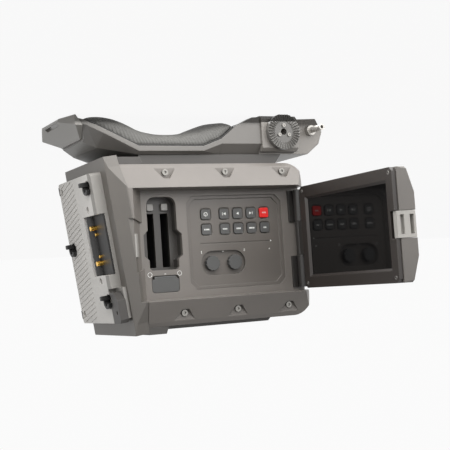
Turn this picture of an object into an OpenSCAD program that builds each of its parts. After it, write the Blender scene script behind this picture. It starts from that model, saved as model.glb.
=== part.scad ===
// Digital cinema camera with a fold-out monitor and a shoulder base.
// Millimetres, +Z up, lens toward -Y, monitor side +X, battery side +Y.
// The origin is the mouth of the tripod thread in the underside of the front block.

/* [Body] */
// Width of the body over its side covers
body_w = 122; // [118:1:130]
// Height of the body at its rear casting
body_h = 148; // [146:1:156]
// Length of the body from its front face to the foot of its rear face
body_l = 186.3; // [184:0.1:196]
// Height of the body's underside above the ground
ride_h = 36.3; // [35.6:0.1:40]
// Distance from the tripod thread forward to the body's front face
front_reach = 16; // [14:0.5:18]
// Forward lean of the rear face, in degrees
rake = 7.5; // [6:0.5:9]
// Wall of the castings
wall = 3; // [2.5:0.1:3.5]
// Depth of the sloping bands that run along the top and bottom edges
band_depth = 9; // [7:0.5:11]
// Height from the body's underside to the band's outer edge
band_edge = 9.5; // [8:0.5:12]
// Height from the body's underside to the band's inner edge
band_inner = 27; // [25:0.5:28]
// Thickness of the rear casting at right angles to the rear face
rear_t = 12; // [10:0.5:14]

/* [Monitor] */
// Length of the monitor from its hinge edge to its free edge
monitor_l = 136.5; // [132:0.5:138]
// Height of the monitor
monitor_h = 89; // [84:0.5:90]
// Thickness of the monitor in the middle
monitor_t = 17; // [15:0.5:17.5]
// Thickness of the monitor along its long edges
monitor_edge_t = 11.5; // [10:0.5:12.5]
// Length of the screen's glass
screen_l = 116; // [110:1:118]
// Height of the screen's glass
screen_h = 66; // [60:1:68]
// Diameter of the monitor's hinge pin
hinge_pin_d = 4; // [3:0.1:4.6]
// Diameter of the swivel shaft that the monitor turns on
swivel_d = 7; // [6:0.1:8]

/* [Controls] */
// Length of the control panel
panel_l = 93; // [90:0.5:94]
// Height of the control panel
panel_h = 80; // [78:0.5:81]
// Side of a key's cap
key_w = 8.7; // [7.5:0.1:9.5]
// Spacing of the keys
key_pitch = 13.2; // [12.5:0.1:13.6]
// Travel of a key
key_travel = 0.8; // [0.5:0.1:1]
// Diameter of a level dial
dial_d = 13; // [11:0.5:14]
// Spacing of the two level dials
dial_pitch = 21.6; // [20:0.2:22.4]

/* [Card bay] */
// Length of the card bay
bay_l = 26.9; // [26:0.1:27.4]
// Height of the card bay
bay_h = 61.6; // [59:0.5:63]
// Width of a card slot
slot_w = 7.2; // [6:0.1:7.6]
// Height of a card slot
slot_h = 46; // [44:0.5:47]

/* [Lens mount] */
// Bore of the lens throat
throat_d = 54; // [50:0.5:56]
// Outer diameter of the bayonet ring
mount_d = 68; // [66:0.5:72]
// Distance from the mounting flange to the sensor
flange_depth = 44; // [42:0.5:46]

/* [Battery plate] */
// Width of the battery plate
plate_w = 85; // [82:0.5:87]
// Height of the battery plate
plate_h = 126; // [123:0.5:130]
// Thickness of the battery plate
plate_t = 9.5; // [8.5:0.1:11]
// Width of the key slots that hold the battery
key_slot_w = 7; // [6:0.1:8]

/* [Shoulder base] */
// Distance from the tripod thread back to the tip of the tail
tail_reach = 198; // [195:0.1:204]
// Distance from the tripod thread forward to the tip of the nose
nose_reach = 47.2; // [44:0.1:52]
// Width of the shoulder base over its rim
base_w = 96; // [90:1:98]
// Outer diameter of a rosette
rosette_d = 31.8; // [30:0.1:32.6]
// Width over the two rosettes
rosette_span = 111; // [108:0.5:116]
// Bore for the accessory rods
rod_d = 15; // [14:0.1:16]
// Spacing of the accessory rods
rod_pitch = 60; // [57:0.5:60]
// Core diameter of the tripod thread
thread_d = 8; // [6:0.1:9]

/* [Hidden] */
$fn = 40;

// Overrun of every cut past the face that it opens
over = 1;
// Clearance between pieces that move on each other
fit = 0.3;
// Gap between fixed pieces that lie in each other
seat = 0.1;
// Turn that swings a bar about Z or Y onto X, in degrees
quarter = 90;

// Stations of the body
flank_step = 2.5;
side_x = body_w / 2;
band_x = side_x - band_depth;
flank_x = band_x - flank_step;
recess_depth = 17;
recess_x = side_x - recess_depth;
floor_t = 4;
core_x = recess_x - floor_t;
front_y = -front_reach;
rear_y = front_y + body_l;
top_z = ride_h + body_h;
mid_z = ride_h + body_h / 2;
skin_drop = 6.2;
belly_z = ride_h + skin_drop;
deck_z = top_z - skin_drop;
low_edge_z = ride_h + band_edge;
low_inner_z = ride_h + band_inner;
top_edge_z = top_z - band_edge;
top_inner_z = top_z - band_inner;
front_t = 8;
rear_face_l = body_h / cos(rake);
far = body_w + body_h;

// Where the rear face, or a plane at some depth off it, stands at a height
function rear_at(z, off = 0) = rear_y - (z - ride_h) * tan(rake) + off / cos(rake);

// An arc of points about a centre, with its own radius along each axis
function arc(c, r, a0, a1, n = 6) = [for (i = [0:n]) let (a = a0 + (a1 - a0) * i / n)
    [c[0] + r[0] * cos(a), c[1] + r[1] * sin(a)]];
// A rectangle about the origin with round corners
function round_box(w, h, r) = [for (k = [0:3]) let (sx = (k == 0 || k == 3) ? 1 : -1, sy = k < 2 ? 1 : -1)
    each arc([sx * (w / 2 - r), sy * (h / 2 - r)], [r, r], quarter * k, quarter * (k + 1), 5)];
// A rectangle about the origin with its corners cut off
function cut_box(w, h, c) = [[w / 2, h / 2 - c], [w / 2 - c, h / 2], [c - w / 2, h / 2], [-w / 2, h / 2 - c],
    [-w / 2, c - h / 2], [c - w / 2, -h / 2], [w / 2 - c, -h / 2], [w / 2, c - h / 2]];
// An outline moved by a step
function moved(p, c) = [for (q = p) q + c];
// One pass of corner cutting, which keeps both ends of a line of points
near_share = 0.75;
function soften(p) = concat([p[0]], [for (i = [0:len(p) - 2]) each
    [p[i] * near_share + p[i + 1] * (1 - near_share), p[i] * (1 - near_share) + p[i + 1] * near_share]],
    [p[len(p) - 1]]);

// Solids from an outline: along X from Y and Z, along Y from X and Z, along Z from X and Y
module along_x(x0, x1, p) translate([x0, 0, 0]) rotate([90, 0, 90]) linear_extrude(x1 - x0) polygon(p);
module along_y(y0, y1, p) translate([0, y1, 0]) rotate([90, 0, 0]) linear_extrude(y1 - y0) polygon(p);
module along_z(z0, z1, p) translate([0, 0, z0]) linear_extrude(z1 - z0) polygon(p);
module box(lo, hi) translate(lo) cube(hi - lo);
// Round bars along X, Y and Z that start at a point
module bar_x(p, d, l, d2 = 0) translate(p) rotate([0, 90, 0]) cylinder(h = l, d1 = d, d2 = d2 > 0 ? d2 : d);
module bar_y(p, d, l, d2 = 0) translate(p) rotate([-90, 0, 0]) cylinder(h = l, d1 = d, d2 = d2 > 0 ? d2 : d);
module bar_z(p, d, l) translate(p) cylinder(h = l, d = d);
// Hexagonal sockets along X, Y and Z
module hex_x(p, w, l) translate(p) rotate([0, 90, 0]) cylinder(h = l, d = w, $fn = 6);
module hex_y(p, w, l) translate(p) rotate([-90, 0, 0]) cylinder(h = l, d = w, $fn = 6);
// The rear face's own frame: X across, Y out of the face and Z up along it
module on_rear() translate([0, rear_y, ride_h]) rotate([rake, 0, 0]) children();
// Everything from a plane at some depth off the rear face, backward or forward of it
module behind(off) on_rear() box([-far, off, -far], [far, far, far]);
// Both sides of the body alike
module both_sides() {
    children();
    mirror([1, 0, 0]) children();
}
// A solid lofted through cross-sections that hold the same number of points
module loft(s, caps = []) {
    n = len(s[0]);
    m = len(s);
    sides = [for (j = [0:m - 2]) for (i = [0:n - 1]) let (a = j * n + i, b = j * n + (i + 1) % n)
        each [[a, a + n, b + n], [a, b + n, b]]];
    starts = len(caps) > 0 ? caps : [[for (i = [0:n - 1]) i]];
    ends = concat(starts, [for (f = starts) [for (i = [len(f) - 1:-1:0]) f[i] + (m - 1) * n]]);
    polyhedron(points = [for (r = s) each r], faces = concat(sides, ends), convexity = 8);
}

// Colours
alloy = [0.42, 0.41, 0.39];
dark_alloy = [0.2, 0.19, 0.18];
pale_alloy = [0.78, 0.76, 0.74];
black = [0.08, 0.08, 0.08];
key_grey = [0.25, 0.25, 0.25];
gold = [0.85, 0.65, 0.2];
steel = [0.65, 0.65, 0.66];
board_green = [0.1, 0.3, 0.18];

// Half of the body's cross-section, from some width outward
function half_section(x0) = [[x0, belly_z], [flank_x, belly_z], [band_x, low_edge_z], [side_x, low_inner_z],
    [side_x, top_inner_z], [band_x, top_edge_z], [flank_x, deck_z], [x0, deck_z]];
// The body's silhouette from the side, round at its front corners
nose_round = [15, 20];
function side_outline(y1) = concat([[y1, belly_z]],
    arc([front_y + nose_round[0], belly_z + nose_round[1]], nose_round, 270, 180, 8),
    arc([front_y + nose_round[0], deck_z - nose_round[1]], nose_round, 180, 90, 8), [[y1, deck_z]]);

// Places of the folded and the open monitor
closed_gap = 1.3;
hinge_set = 6;
hinge_arm = 11.5;
hinge_step = 4;
hinge_x = recess_x + closed_gap + hinge_set;
hinge_y = front_y + hinge_step;
bezel_y = hinge_y + hinge_set;
monitor_x = hinge_x + hinge_arm;
monitor_end_x = monitor_x + monitor_l;
monitor_z0 = mid_z - monitor_h / 2;
monitor_z1 = mid_z + monitor_h / 2;

// Recess that the closed monitor lies in
recess_end_y = hinge_y + hinge_arm + monitor_l + closed_gap;
recess_z0 = monitor_z0 - closed_gap;
recess_z1 = monitor_z1 + closed_gap;
flare = 1;
wall_run = 13;
module recess() {
    intersection() {
        along_y(front_y - over, recess_end_y + far, [[recess_x, recess_z0],
            [side_x + over, recess_z0 - flare], [side_x + over, recess_z1 + flare], [recess_x, recess_z1]]);
        along_z(ride_h, top_z, [[recess_x, front_y - over], [side_x + over, front_y - over],
            [side_x + over, recess_end_y + wall_run + over], [recess_x, recess_end_y]]);
    }
}

// Finger pocket behind the closed monitor's free edge, sunk in the recess's slanted wall
pocket_half = 23;
pocket_slope = 4;
pocket_d = 2.4;
pocket_reach = 6;
module latch_pocket() {
    intersection() {
        along_x(recess_x, side_x + over, [[recess_end_y - over, mid_z - pocket_half + pocket_slope],
            [rear_at(mid_z - pocket_half, -pocket_reach), mid_z - pocket_half],
            [rear_at(mid_z + pocket_half, -pocket_reach), mid_z + pocket_half],
            [recess_end_y - over, mid_z + pocket_half - pocket_slope]]);
        along_z(ride_h, top_z, [[recess_x, recess_end_y - over], [side_x + over, recess_end_y - over],
            [side_x + over, rear_y], [side_x - pocket_d, rear_y],
            [side_x - pocket_d, recess_end_y + wall_run], [recess_x, recess_end_y + pocket_d]]);
    }
}

// Screws, each a head on a shank with a hexagonal socket
screw_head_d = 5.4;
screw_head_h = 1.8;
screw_d = 3;
screw_l = 6;
socket_w = 2.6;
socket_depth = 1.2;
module screw_x(p) difference() {
    union() {
        bar_x(p, screw_head_d, screw_head_h);
        bar_x(p - [screw_l, 0, 0], screw_d, screw_l);
    }
    hex_x(p + [screw_head_h - socket_depth, 0, 0], socket_w, socket_depth + over);
}
module screw_y(p, l = screw_l) difference() {
    union() {
        bar_y(p, screw_head_d, screw_head_h);
        bar_y(p - [0, l, 0], screw_d, l);
    }
    hex_y(p + [0, screw_head_h - socket_depth, 0], socket_w, socket_depth + over);
}

// Notches in the bands, with a flat seat for a screw in each
notch_wide = 23;
notch_narrow = 6;
notch_h = 9.8;
notch_lap = 1.4;
notch_sink = 0.4;
notch_x = band_x + notch_sink;
low_first_y = 5;
low_screw_pitch = 56.3;
top_first_y = 7.4;
top_screw_pitch = 50.3;
low_screw_rise = 4.4;
top_screw_drop = 6.6;
band_screws = concat([for (i = [0:2]) [low_first_y + low_screw_pitch * i, low_edge_z + low_screw_rise, 1]],
    [for (i = [0:2]) [top_first_y + top_screw_pitch * i, top_edge_z - top_screw_drop, -1]]);
module notch(s) {
    edge_z = s[2] > 0 ? low_edge_z : top_edge_z;
    lap_z = edge_z - s[2] * notch_lap;
    tip_z = edge_z + s[2] * notch_h;
    along_x(notch_x, side_x + over, [[s[0] - notch_wide / 2, lap_z], [s[0] + notch_wide / 2, lap_z],
        [s[0] + notch_narrow / 2, tip_z], [s[0] - notch_narrow / 2, tip_z]]);
}
module band_notches() for (s = band_screws) {
    notch(s);
    bar_x([notch_x - screw_l - seat, s[0], s[1]], screw_d + 2 * seat, screw_l + over);
}

// Windows of the left side
panel_gap_y = 18.9;
panel_y0 = front_y + panel_gap_y;
panel_y1 = panel_y0 + panel_l;
panel_drop = 0.6;
panel_z = mid_z - panel_drop;
panel_y = (panel_y0 + panel_y1) / 2;
panel_cut = 6;
flange_w = 2;
flange_t = 2;
bay_gap = 9.7;
bay_y = panel_y1 + bay_gap + bay_l / 2;
bay_drop = 9.7;
bay_z = mid_z - bay_drop;
bay_round = 7;
wing_d = 4;
wing_half = 12.5;
wing_slope = 3.6;
wing_rise = bay_drop;
usb_l = 25.2;
usb_h = 14.3;
usb_gap = 4.6;
usb_z = bay_z + bay_h / 2 + usb_gap + usb_h / 2;
usb_round = 2.6;
chassis_window_y = [panel_y0 - flange_w - over, recess_end_y + flange_w];
chassis_window_z = [recess_z0 + over, recess_z1 - over];

// Outline of the card bay: round at its low end, with a finger scoop on each side
function bay_outline(g = 0) = moved(concat(
    arc([bay_l / 2 + g - bay_round, bay_round - bay_h / 2 - g], [bay_round, bay_round], -90, 0, 5),
    moved([[bay_l / 2 + g, -wing_half], [bay_l / 2 + wing_d + g, wing_slope - wing_half],
    [bay_l / 2 + wing_d + g, wing_half - wing_slope], [bay_l / 2 + g, wing_half]], [0, wing_rise]),
    [[bay_l / 2 + g, bay_h / 2 + g - flange_w], [bay_l / 2 + g - flange_w, bay_h / 2 + g]],
    [[flange_w - bay_l / 2 - g, bay_h / 2 + g], [-bay_l / 2 - g, bay_h / 2 + g - flange_w]],
    moved([[-bay_l / 2 - g, wing_half], [-bay_l / 2 - wing_d - g, wing_half - wing_slope],
    [-bay_l / 2 - wing_d - g, wing_slope - wing_half], [-bay_l / 2 - g, -wing_half]], [0, wing_rise]),
    arc([bay_round - bay_l / 2 - g, bay_round - bay_h / 2 - g], [bay_round, bay_round], 180, 270, 5)),
    [bay_y, bay_z]);

// Chassis: a tube with a window for the controls, one for the fan and four thread holes in its deck
fan_y = 50;
fan_w = 56;
fan_d = 50;
deck_holes_y = [30, 62, 94];
deck_hole_d = 8;
chassis_y0 = front_y + front_t;
module chassis() color(dark_alloy) difference() {
    intersection() {
        along_x(-core_x, core_x, side_outline(rear_y));
        box([-far, chassis_y0, 0], [far, far, far]);
    }
    behind(-rear_t);
    box([wall - core_x, chassis_y0 - over, belly_z + wall], [core_x - wall, far, deck_z - wall]);
    box([core_x - wall - over, chassis_window_y[0], chassis_window_z[0]],
        [core_x + over, chassis_window_y[1], chassis_window_z[1]]);
    box([-core_x - over, fan_y - fan_w / 2, mid_z - fan_w / 2], [wall - core_x + over, fan_y + fan_w / 2, mid_z + fan_w / 2]);
    for (y = deck_holes_y) bar_z([0, y, deck_z - wall - over], deck_hole_d, wall + 2 * over);
}

// Front casting with the round boss that carries the lens mount
boss_l = 6;
boss_lip = 3;
boss_base_lip = 5;
boss_bore_gap = 2;
release_angle = -40;
release_d = 8;
release_gap = 6;
release_proud = 3;
release_travel = 2;
release_r = mount_d / 2 + boss_base_lip + release_gap;
release_x = release_r * cos(release_angle);
release_z = mid_z + release_r * sin(release_angle);
module front_casting() color(dark_alloy) difference() {
    union() {
        intersection() {
            along_x(-core_x, core_x, side_outline(rear_y));
            box([-far, -far, 0], [far, chassis_y0, far]);
        }
        bar_y([0, front_y - boss_l, mid_z], mount_d + 2 * boss_lip, boss_l, mount_d + 2 * boss_base_lip);
    }
    bar_y([0, front_y - boss_l - over, mid_z], throat_d + boss_bore_gap, boss_l + front_t + 2 * over);
    bar_y([release_x, front_y - over, release_z], release_d + 2 * fit, front_t + 2 * over);
    for (a = mount_screw_angles) bar_y(mount_screw(a, front_y - boss_l - over), screw_d + 2 * seat, mount_screw_l);
}

// Bayonet ring: a bore with a channel behind three entry gaps
ring_t = 8;
channel_d = throat_d + 3.2;
channel_y = 1.6;
channel_t = 3;
entry_gap_share = 0.15;
flange_y = front_y - boss_l - ring_t;
mount_screw_l = 10;
mount_screw_angles = [for (k = [0:5]) 60 * k + 30];
function mount_screw(a, y) = [(throat_d + mount_d) / 4 * cos(a), y, mid_z + (throat_d + mount_d) / 4 * sin(a)];
module lens_mount() color(steel) difference() {
    bar_y([0, flange_y, mid_z], mount_d, ring_t);
    bar_y([0, flange_y - over, mid_z], throat_d, ring_t + 2 * over);
    bar_y([0, flange_y + channel_y, mid_z], channel_d, channel_t);
    for (k = [0:2]) intersection() {
        bar_y([0, flange_y - over, mid_z], channel_d, channel_y + 2 * over);
        translate([0, 0, mid_z]) rotate([0, 120 * k, 0])
            box([0, flange_y - over, -channel_d * entry_gap_share], [channel_d, flange_y + channel_y + over, channel_d * entry_gap_share]);
    }
    for (a = mount_screw_angles) {
        bar_y(mount_screw(a, flange_y - over), screw_d + 2 * seat, ring_t + 2 * over);
        bar_y(mount_screw(a, flange_y - over), screw_head_d + 2 * seat, over + screw_head_h + seat);
    }
}

// Button that frees the lens
module lens_release() color(black)
    bar_y([release_x, front_y - release_proud, release_z], release_d, release_proud + front_t - release_travel - fit);

// Housing behind the throat, with the sensor's window
sensor_y = flange_y + flange_depth;
housing_w = 64;
housing_h = 64;
housing_back = 1;
throat_stop = 8;
sensor_w = 34;
sensor_h = 24;
filter_t = 2.5;
module sensor_housing() color(black) difference() {
    box([-housing_w / 2, chassis_y0, mid_z - housing_h / 2], [housing_w / 2, sensor_y + housing_back, mid_z + housing_h / 2]);
    bar_y([0, chassis_y0 - over, mid_z], throat_d, sensor_y - throat_stop - chassis_y0 + over);
    box([-sensor_w / 2, chassis_y0, mid_z - sensor_h / 2], [sensor_w / 2, far, mid_z + sensor_h / 2]);
}
module sensor_filter() color([0.55, 0.75, 0.75])
    box([seat - sensor_w / 2, sensor_y - throat_stop + over, seat + mid_z - sensor_h / 2],
        [sensor_w / 2 - seat, sensor_y - throat_stop + over + filter_t, mid_z + sensor_h / 2 - seat]);

// Circuit boards: the sensor's own, and the main one that slides in between deck and belly
board_t = 1.6;
board_edge = 2;
die_edge = 2;
module sensor_board() {
    color(board_green) box([board_edge - housing_w / 2, sensor_y + housing_back, board_edge + mid_z - housing_h / 2],
        [housing_w / 2 - board_edge, sensor_y + housing_back + board_t, mid_z + housing_h / 2 - board_edge]);
    color(black) box([die_edge - sensor_w / 2, sensor_y, die_edge + mid_z - sensor_h / 2],
        [sensor_w / 2 - die_edge, sensor_y + housing_back, mid_z + sensor_h / 2 - die_edge]);
}
main_board_x = 5;
main_board_gap = 8;
main_board_y = sensor_y + main_board_gap;
chip_w = 18;
chip_t = 2;
chip_pitch = 30;
module main_board() {
    color(board_green) box([main_board_x, main_board_y, belly_z + wall],
        [main_board_x + board_t, rear_at(deck_z, -rear_t) - board_edge, deck_z - wall]);
    for (i = [0:1]) color(black)
        box([main_board_x + board_t, fan_y - chip_w / 2, mid_z - chip_w / 2 + chip_pitch * (i - 1 / 2)],
            [main_board_x + board_t + chip_t, fan_y + chip_w / 2, mid_z + chip_w / 2 + chip_pitch * (i - 1 / 2)]);
}

// Heatsink: upright fins on a base, cooled through the window in the chassis
sink_base = 4;
fin_n = 11;
fin_t = 1.2;
sink_l = 52;
sink_h = 72;
fin_gap = 2;
module heatsink() color(steel) {
    box([main_board_x - sink_base, fan_y - sink_l / 2, mid_z - sink_h / 2], [main_board_x, fan_y + sink_l / 2, mid_z + sink_h / 2]);
    for (i = [0:fin_n - 1]) translate([0, fan_y - sink_l / 2 + (sink_l - fin_t) * i / (fin_n - 1), 0])
        box([wall - core_x + fin_gap, 0, mid_z - sink_h / 2], [main_board_x - sink_base, fin_t, mid_z + sink_h / 2]);
}

// Fan housing behind the grille, with the pin that the fan turns on
fan_t = 14;
spider_t = 2.5;
arm_w = 4;
arm_t = 2;
fan_hub_d = 18;
fan_pin_d = 3;
fan_x = wall - side_x;
module fan_housing() color(black) {
    difference() {
        box([fan_x, fan_y - fan_w / 2, mid_z - fan_w / 2], [fan_x + fan_t, fan_y + fan_w / 2, mid_z + fan_w / 2]);
        bar_x([fan_x - over, fan_y, mid_z], fan_d, fan_t + 2 * over);
    }
    for (k = [0:2]) translate([fan_x + fan_t - spider_t, fan_y, mid_z]) rotate([120 * k, 0, 0])
        box([0, -arm_w / 2, fan_hub_d / 4], [arm_t, arm_w / 2, (fan_d + fan_w) / 4]);
    bar_x([fan_x + fan_t - spider_t, fan_y, mid_z], fan_hub_d, spider_t);
    bar_x([fan_x + wall, fan_y, mid_z], fan_pin_d, fan_t - wall);
}
blade_n = 7;
blade_t = 1;
blade_pitch = 35;
blade_gap = 1.2;
module fan() color(dark_alloy) difference() {
    union() {
        bar_x([fan_x + over, fan_y, mid_z], fan_hub_d, fan_t - spider_t - over - fit);
        for (k = [0:blade_n - 1]) intersection() {
            translate([fan_x + fan_t / 2 - over, fan_y, mid_z]) rotate([360 * k / blade_n, 0, 0]) rotate([0, 0, blade_pitch])
                box([-fan_t / 3, -blade_t / 2, 0], [fan_t / 3, blade_t / 2, fan_d / 2]);
            bar_x([fan_x + over, fan_y, mid_z], fan_d - 2 * blade_gap, fan_t - spider_t - over - fit);
        }
    }
    bar_x([fan_x - over, fan_y, mid_z], fan_pin_d + fit, fan_t + over);
}

// Left frame: the two sloping bands and the recess for the monitor
side_nose = [10, 9];
module side_body() intersection() {
    along_y(-far, far, half_section(core_x));
    along_x(core_x, side_x, side_outline(rear_y));
    along_z(0, far, [[core_x, front_y], [side_x - side_nose[0], front_y], [side_x, front_y + side_nose[1]], [side_x, rear_y], [core_x, rear_y]]);
}
module left_frame() color(alloy) difference() {
    side_body();
    behind(-rear_t);
    recess();
    latch_pocket();
    band_notches();
    along_x(core_x - over, recess_x + over, moved(cut_box(panel_l + 2 * seat, panel_h + 2 * seat, panel_cut), [panel_y, panel_z]));
    along_x(core_x - over, recess_x + over, bay_outline());
    along_x(recess_x - usb_pocket, recess_x + over, moved(round_box(usb_l, usb_h, usb_round), [bay_y, usb_z]));
    along_x(core_x - over, recess_x, moved(round_box(usb_l - 2 * usb_round, usb_h - 2 * usb_round, usb_round / 2), [bay_y, usb_z]));
}

// Right cover: a shell with the fan's grille and the sockets
grille_n = 9;
grille_pitch = 6;
grille_w = 3.2;
grille_h = 48;
socket_y = 112;
socket_pitch = 27;
audio_d = 19;
signal_y = 91;
signal_d = 9;
signal_pitch = 17;
socket_bay_d = 1.2;
socket_bay_y = [82, 126];
function audio_z(i) = mid_z + socket_pitch * (i - 1);
function signal_z(i) = mid_z + signal_pitch * (i - 3 / 2);
module right_cover() color(alloy) difference() {
    mirror([1, 0, 0]) side_body();
    behind(-rear_t);
    mirror([1, 0, 0]) band_notches();
    box([wall - side_x, front_y + front_t, low_inner_z + wall], [over - core_x, rear_at(top_z, -rear_t) - wall, top_inner_z - wall]);
    box([-side_x - over, socket_bay_y[0], low_inner_z + wall], [socket_bay_d - side_x, socket_bay_y[1], top_inner_z - wall]);
    for (i = [0:grille_n - 1]) along_x(-side_x - over, over + wall - side_x,
        moved(round_box(grille_w, grille_h, grille_w / 2 - seat), [fan_y + grille_pitch * (i - (grille_n - 1) / 2), mid_z]));
    for (i = [0:2]) bar_x([-side_x - over, socket_y, audio_z(i)], audio_d + 2 * seat, wall + 2 * over);
    for (i = [0:3]) bar_x([-side_x - over, signal_y, signal_z(i)], signal_d + 2 * seat, wall + 2 * over);
}

// Sockets: two for audio and one for power, each a cup with its pins, and four bayonet sockets for signals
cup_l = 18;
cup_wall = 1.2;
cup_floor = 3;
cup_pin_d = 2;
cup_pin_l = 9;
cup_pin_share = 0.27;
module audio_sockets() for (i = [0:2]) translate([socket_bay_d - side_x, socket_y, audio_z(i)]) {
    pins = i == 0 ? 4 : 3;
    color(black) difference() {
        bar_x([0, 0, 0], audio_d, cup_l);
        bar_x([-over, 0, 0], audio_d - 2 * cup_wall, cup_l - cup_floor + over);
    }
    color(gold) for (k = [0:pins - 1]) bar_x([cup_l - cup_floor - cup_pin_l,
        audio_d * cup_pin_share * cos(360 * k / pins), audio_d * cup_pin_share * sin(360 * k / pins)], cup_pin_d, cup_pin_l);
}
signal_proud = 8;
signal_bore = 6;
signal_lug_d = 2;
signal_pin_d = 1.6;
module signal_sockets() color(steel) for (i = [0:3]) translate([-side_x, signal_y, signal_z(i)]) {
    difference() {
        union() {
            bar_x([-signal_proud, 0, 0], signal_d, signal_proud + wall + cup_floor);
            translate([-signal_proud / 2, 0, -signal_d / 2 - over]) bar_z([0, 0, 0], signal_lug_d, signal_d + 2 * over);
        }
        bar_x([-signal_proud - over, 0, 0], signal_bore, signal_proud + over);
    }
    bar_x([-signal_proud + over, 0, 0], signal_pin_d, signal_proud);
}

// Rear casting: a raked slab, sloped toward its face, hollow in front
rear_slope = 11;
rear_hollow = 6;
rear_hollow_w = 70;
module rear_casting() color(alloy) difference() {
    on_rear() intersection() {
        along_y(-rear_t, 0, [[-flank_x, 0], [flank_x, 0], [band_x, band_edge], [side_x, band_inner],
            [side_x, rear_face_l - band_inner], [band_x, rear_face_l - band_edge], [flank_x, rear_face_l],
            [-flank_x, rear_face_l], [-band_x, rear_face_l - band_edge], [-side_x, rear_face_l - band_inner],
            [-side_x, band_inner], [-band_x, band_edge]]);
        along_z(-over, far, [[-side_x, -rear_t], [side_x, -rear_t], [side_x, over - rear_t],
            [side_x - rear_slope, 0], [rear_slope - side_x, 0], [-side_x, over - rear_t]]);
    }
    recess();
    latch_pocket();
    on_rear() box([-rear_hollow_w / 2, -rear_t - over, band_inner], [rear_hollow_w / 2, -rear_hollow, rear_face_l - band_inner]);
    for (p = plate_screws) on_rear() bar_y([p[0], -screw_l - over, p[1]], screw_d + 2 * seat, screw_l + 2 * over);
}

// Deck plate with its three threads, and the lump behind it
lump_front_y = 121;
deck_plate_y = 18;
deck_plate_t = 3;
deck_plate_w = 78;
lump_slope = 5;
module top_plate() color(dark_alloy) difference() {
    union() {
        along_x(-deck_plate_w / 2, deck_plate_w / 2, [[deck_plate_y, deck_z], [deck_plate_y + deck_plate_t, deck_z + deck_plate_t],
            [lump_front_y + over, deck_z + deck_plate_t], [lump_front_y + over, deck_z]]);
        along_x(-flank_x, flank_x, [[lump_front_y, deck_z], [lump_front_y + lump_slope / 2, top_z], [rear_y, top_z], [rear_y, deck_z]]);
    }
    behind(-rear_t);
    for (y = deck_holes_y) bar_z([0, y, deck_z - over], deck_hole_d, deck_plate_t + 2 * over);
}

// Plate under the body: the lump at its rear and the neck that stands on the shoulder base
foot_front_y = 135.5;
neck_w = 84;
neck_front_y = -2;
neck_nose = 7;
module bottom_plate() color(dark_alloy) difference() {
    union() {
        along_x(-flank_x, flank_x, [[foot_front_y, belly_z], [foot_front_y + lump_slope / 2, ride_h], [rear_y, ride_h], [rear_y, belly_z]]);
        along_x(-neck_w / 2, neck_w / 2, [[neck_front_y, tray_top_z], [neck_front_y + neck_nose, belly_z],
            [foot_front_y + over, belly_z], [foot_front_y + over, ride_h], [foot_front_y, tray_top_z]]);
    }
    behind(-rear_t);
}

// Control panel: a lipped plate with a hole in a well for every key, and a round-ended recess for the dials
panel_lip = 2.6;
lip_t = 1;
panel_top_x = recess_x - over;
panel_face_x = panel_top_x - lip_t;
panel_back_x = core_x - flange_t;
first_key_y = panel_y0 + 16.8;
power_key_y = panel_y0 + 74.2;
first_key_z = panel_z - panel_h / 2 + 15.9;
key_well = 1.1;
key_well_d = 0.7;
key_round = 1.6;
key_places = [[power_key_y, 0], [first_key_y + 3 * key_pitch, 0], [first_key_y + 2 * key_pitch, 0],
    [first_key_y + key_pitch, 0], [first_key_y, 0], [power_key_y, 1], [first_key_y + 3 * key_pitch, 1],
    [first_key_y + 2 * key_pitch, 1], [first_key_y + key_pitch, 1], [first_key_y, 1]];
function key_at(i) = [key_places[i][0], first_key_z + key_pitch * key_places[i][1]];
dial_y = panel_y0 + 48.8;
dial_z = panel_z + 18.2;
dial_recess_d = 2.8;
dial_margin = 4;
dial_recess_x = panel_face_x - dial_recess_d;
dial_shaft_d = 4;
groove_z = panel_z + 0.7;
groove_w = 0.8;
groove_d = 0.4;
groove_half = 34.3;
post_d = 6;
post_inset = 5;
control_gap = 3.4;
module control_panel() color(dark_alloy) difference() {
    union() {
        along_x(panel_back_x, panel_top_x, moved(cut_box(panel_l, panel_h, panel_cut), [panel_y, panel_z]));
        along_x(panel_back_x, core_x, moved(cut_box(panel_l + 2 * flange_w, panel_h + 2 * flange_w, panel_cut), [panel_y, panel_z]));
        for (s = [-1, 1], t = [-1, 1]) bar_x([panel_back_x - control_gap, panel_y + s * (panel_l / 2 - post_inset),
            panel_z + t * (panel_h / 2 - post_inset - panel_cut)], post_d, control_gap);
    }
    along_x(panel_face_x, recess_x, moved(cut_box(panel_l - 2 * panel_lip, panel_h - 2 * panel_lip, panel_cut), [panel_y, panel_z]));
    for (i = [0:len(key_places) - 1]) {
        along_x(panel_back_x - over, recess_x, moved(round_box(key_w + 2 * fit, key_w + 2 * fit, key_round + fit), key_at(i)));
        along_x(panel_face_x - key_well_d, recess_x,
            moved(round_box(key_w + 2 * key_well, key_w + 2 * key_well, key_round + key_well), key_at(i)));
    }
    along_x(dial_recess_x, recess_x, moved(round_box(dial_pitch + dial_d + 2 * dial_margin, dial_d + 2 * dial_margin,
        dial_d / 2 + dial_margin - seat), [dial_y + dial_pitch / 2, dial_z]));
    for (i = [0:1]) bar_x([panel_back_x - over, dial_y + dial_pitch * i, dial_z], dial_shaft_d + 2 * fit, flange_t + control_gap);
    box([panel_face_x - groove_d, panel_y - groove_half, groove_z], [recess_x, panel_y + groove_half, groove_z + groove_w]);
}
module control_board() color(board_green) difference() {
    along_x(panel_back_x - control_gap - board_t, panel_back_x - control_gap,
        moved(cut_box(panel_l - panel_cut, panel_h - panel_cut, panel_cut), [panel_y, panel_z]));
}

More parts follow.
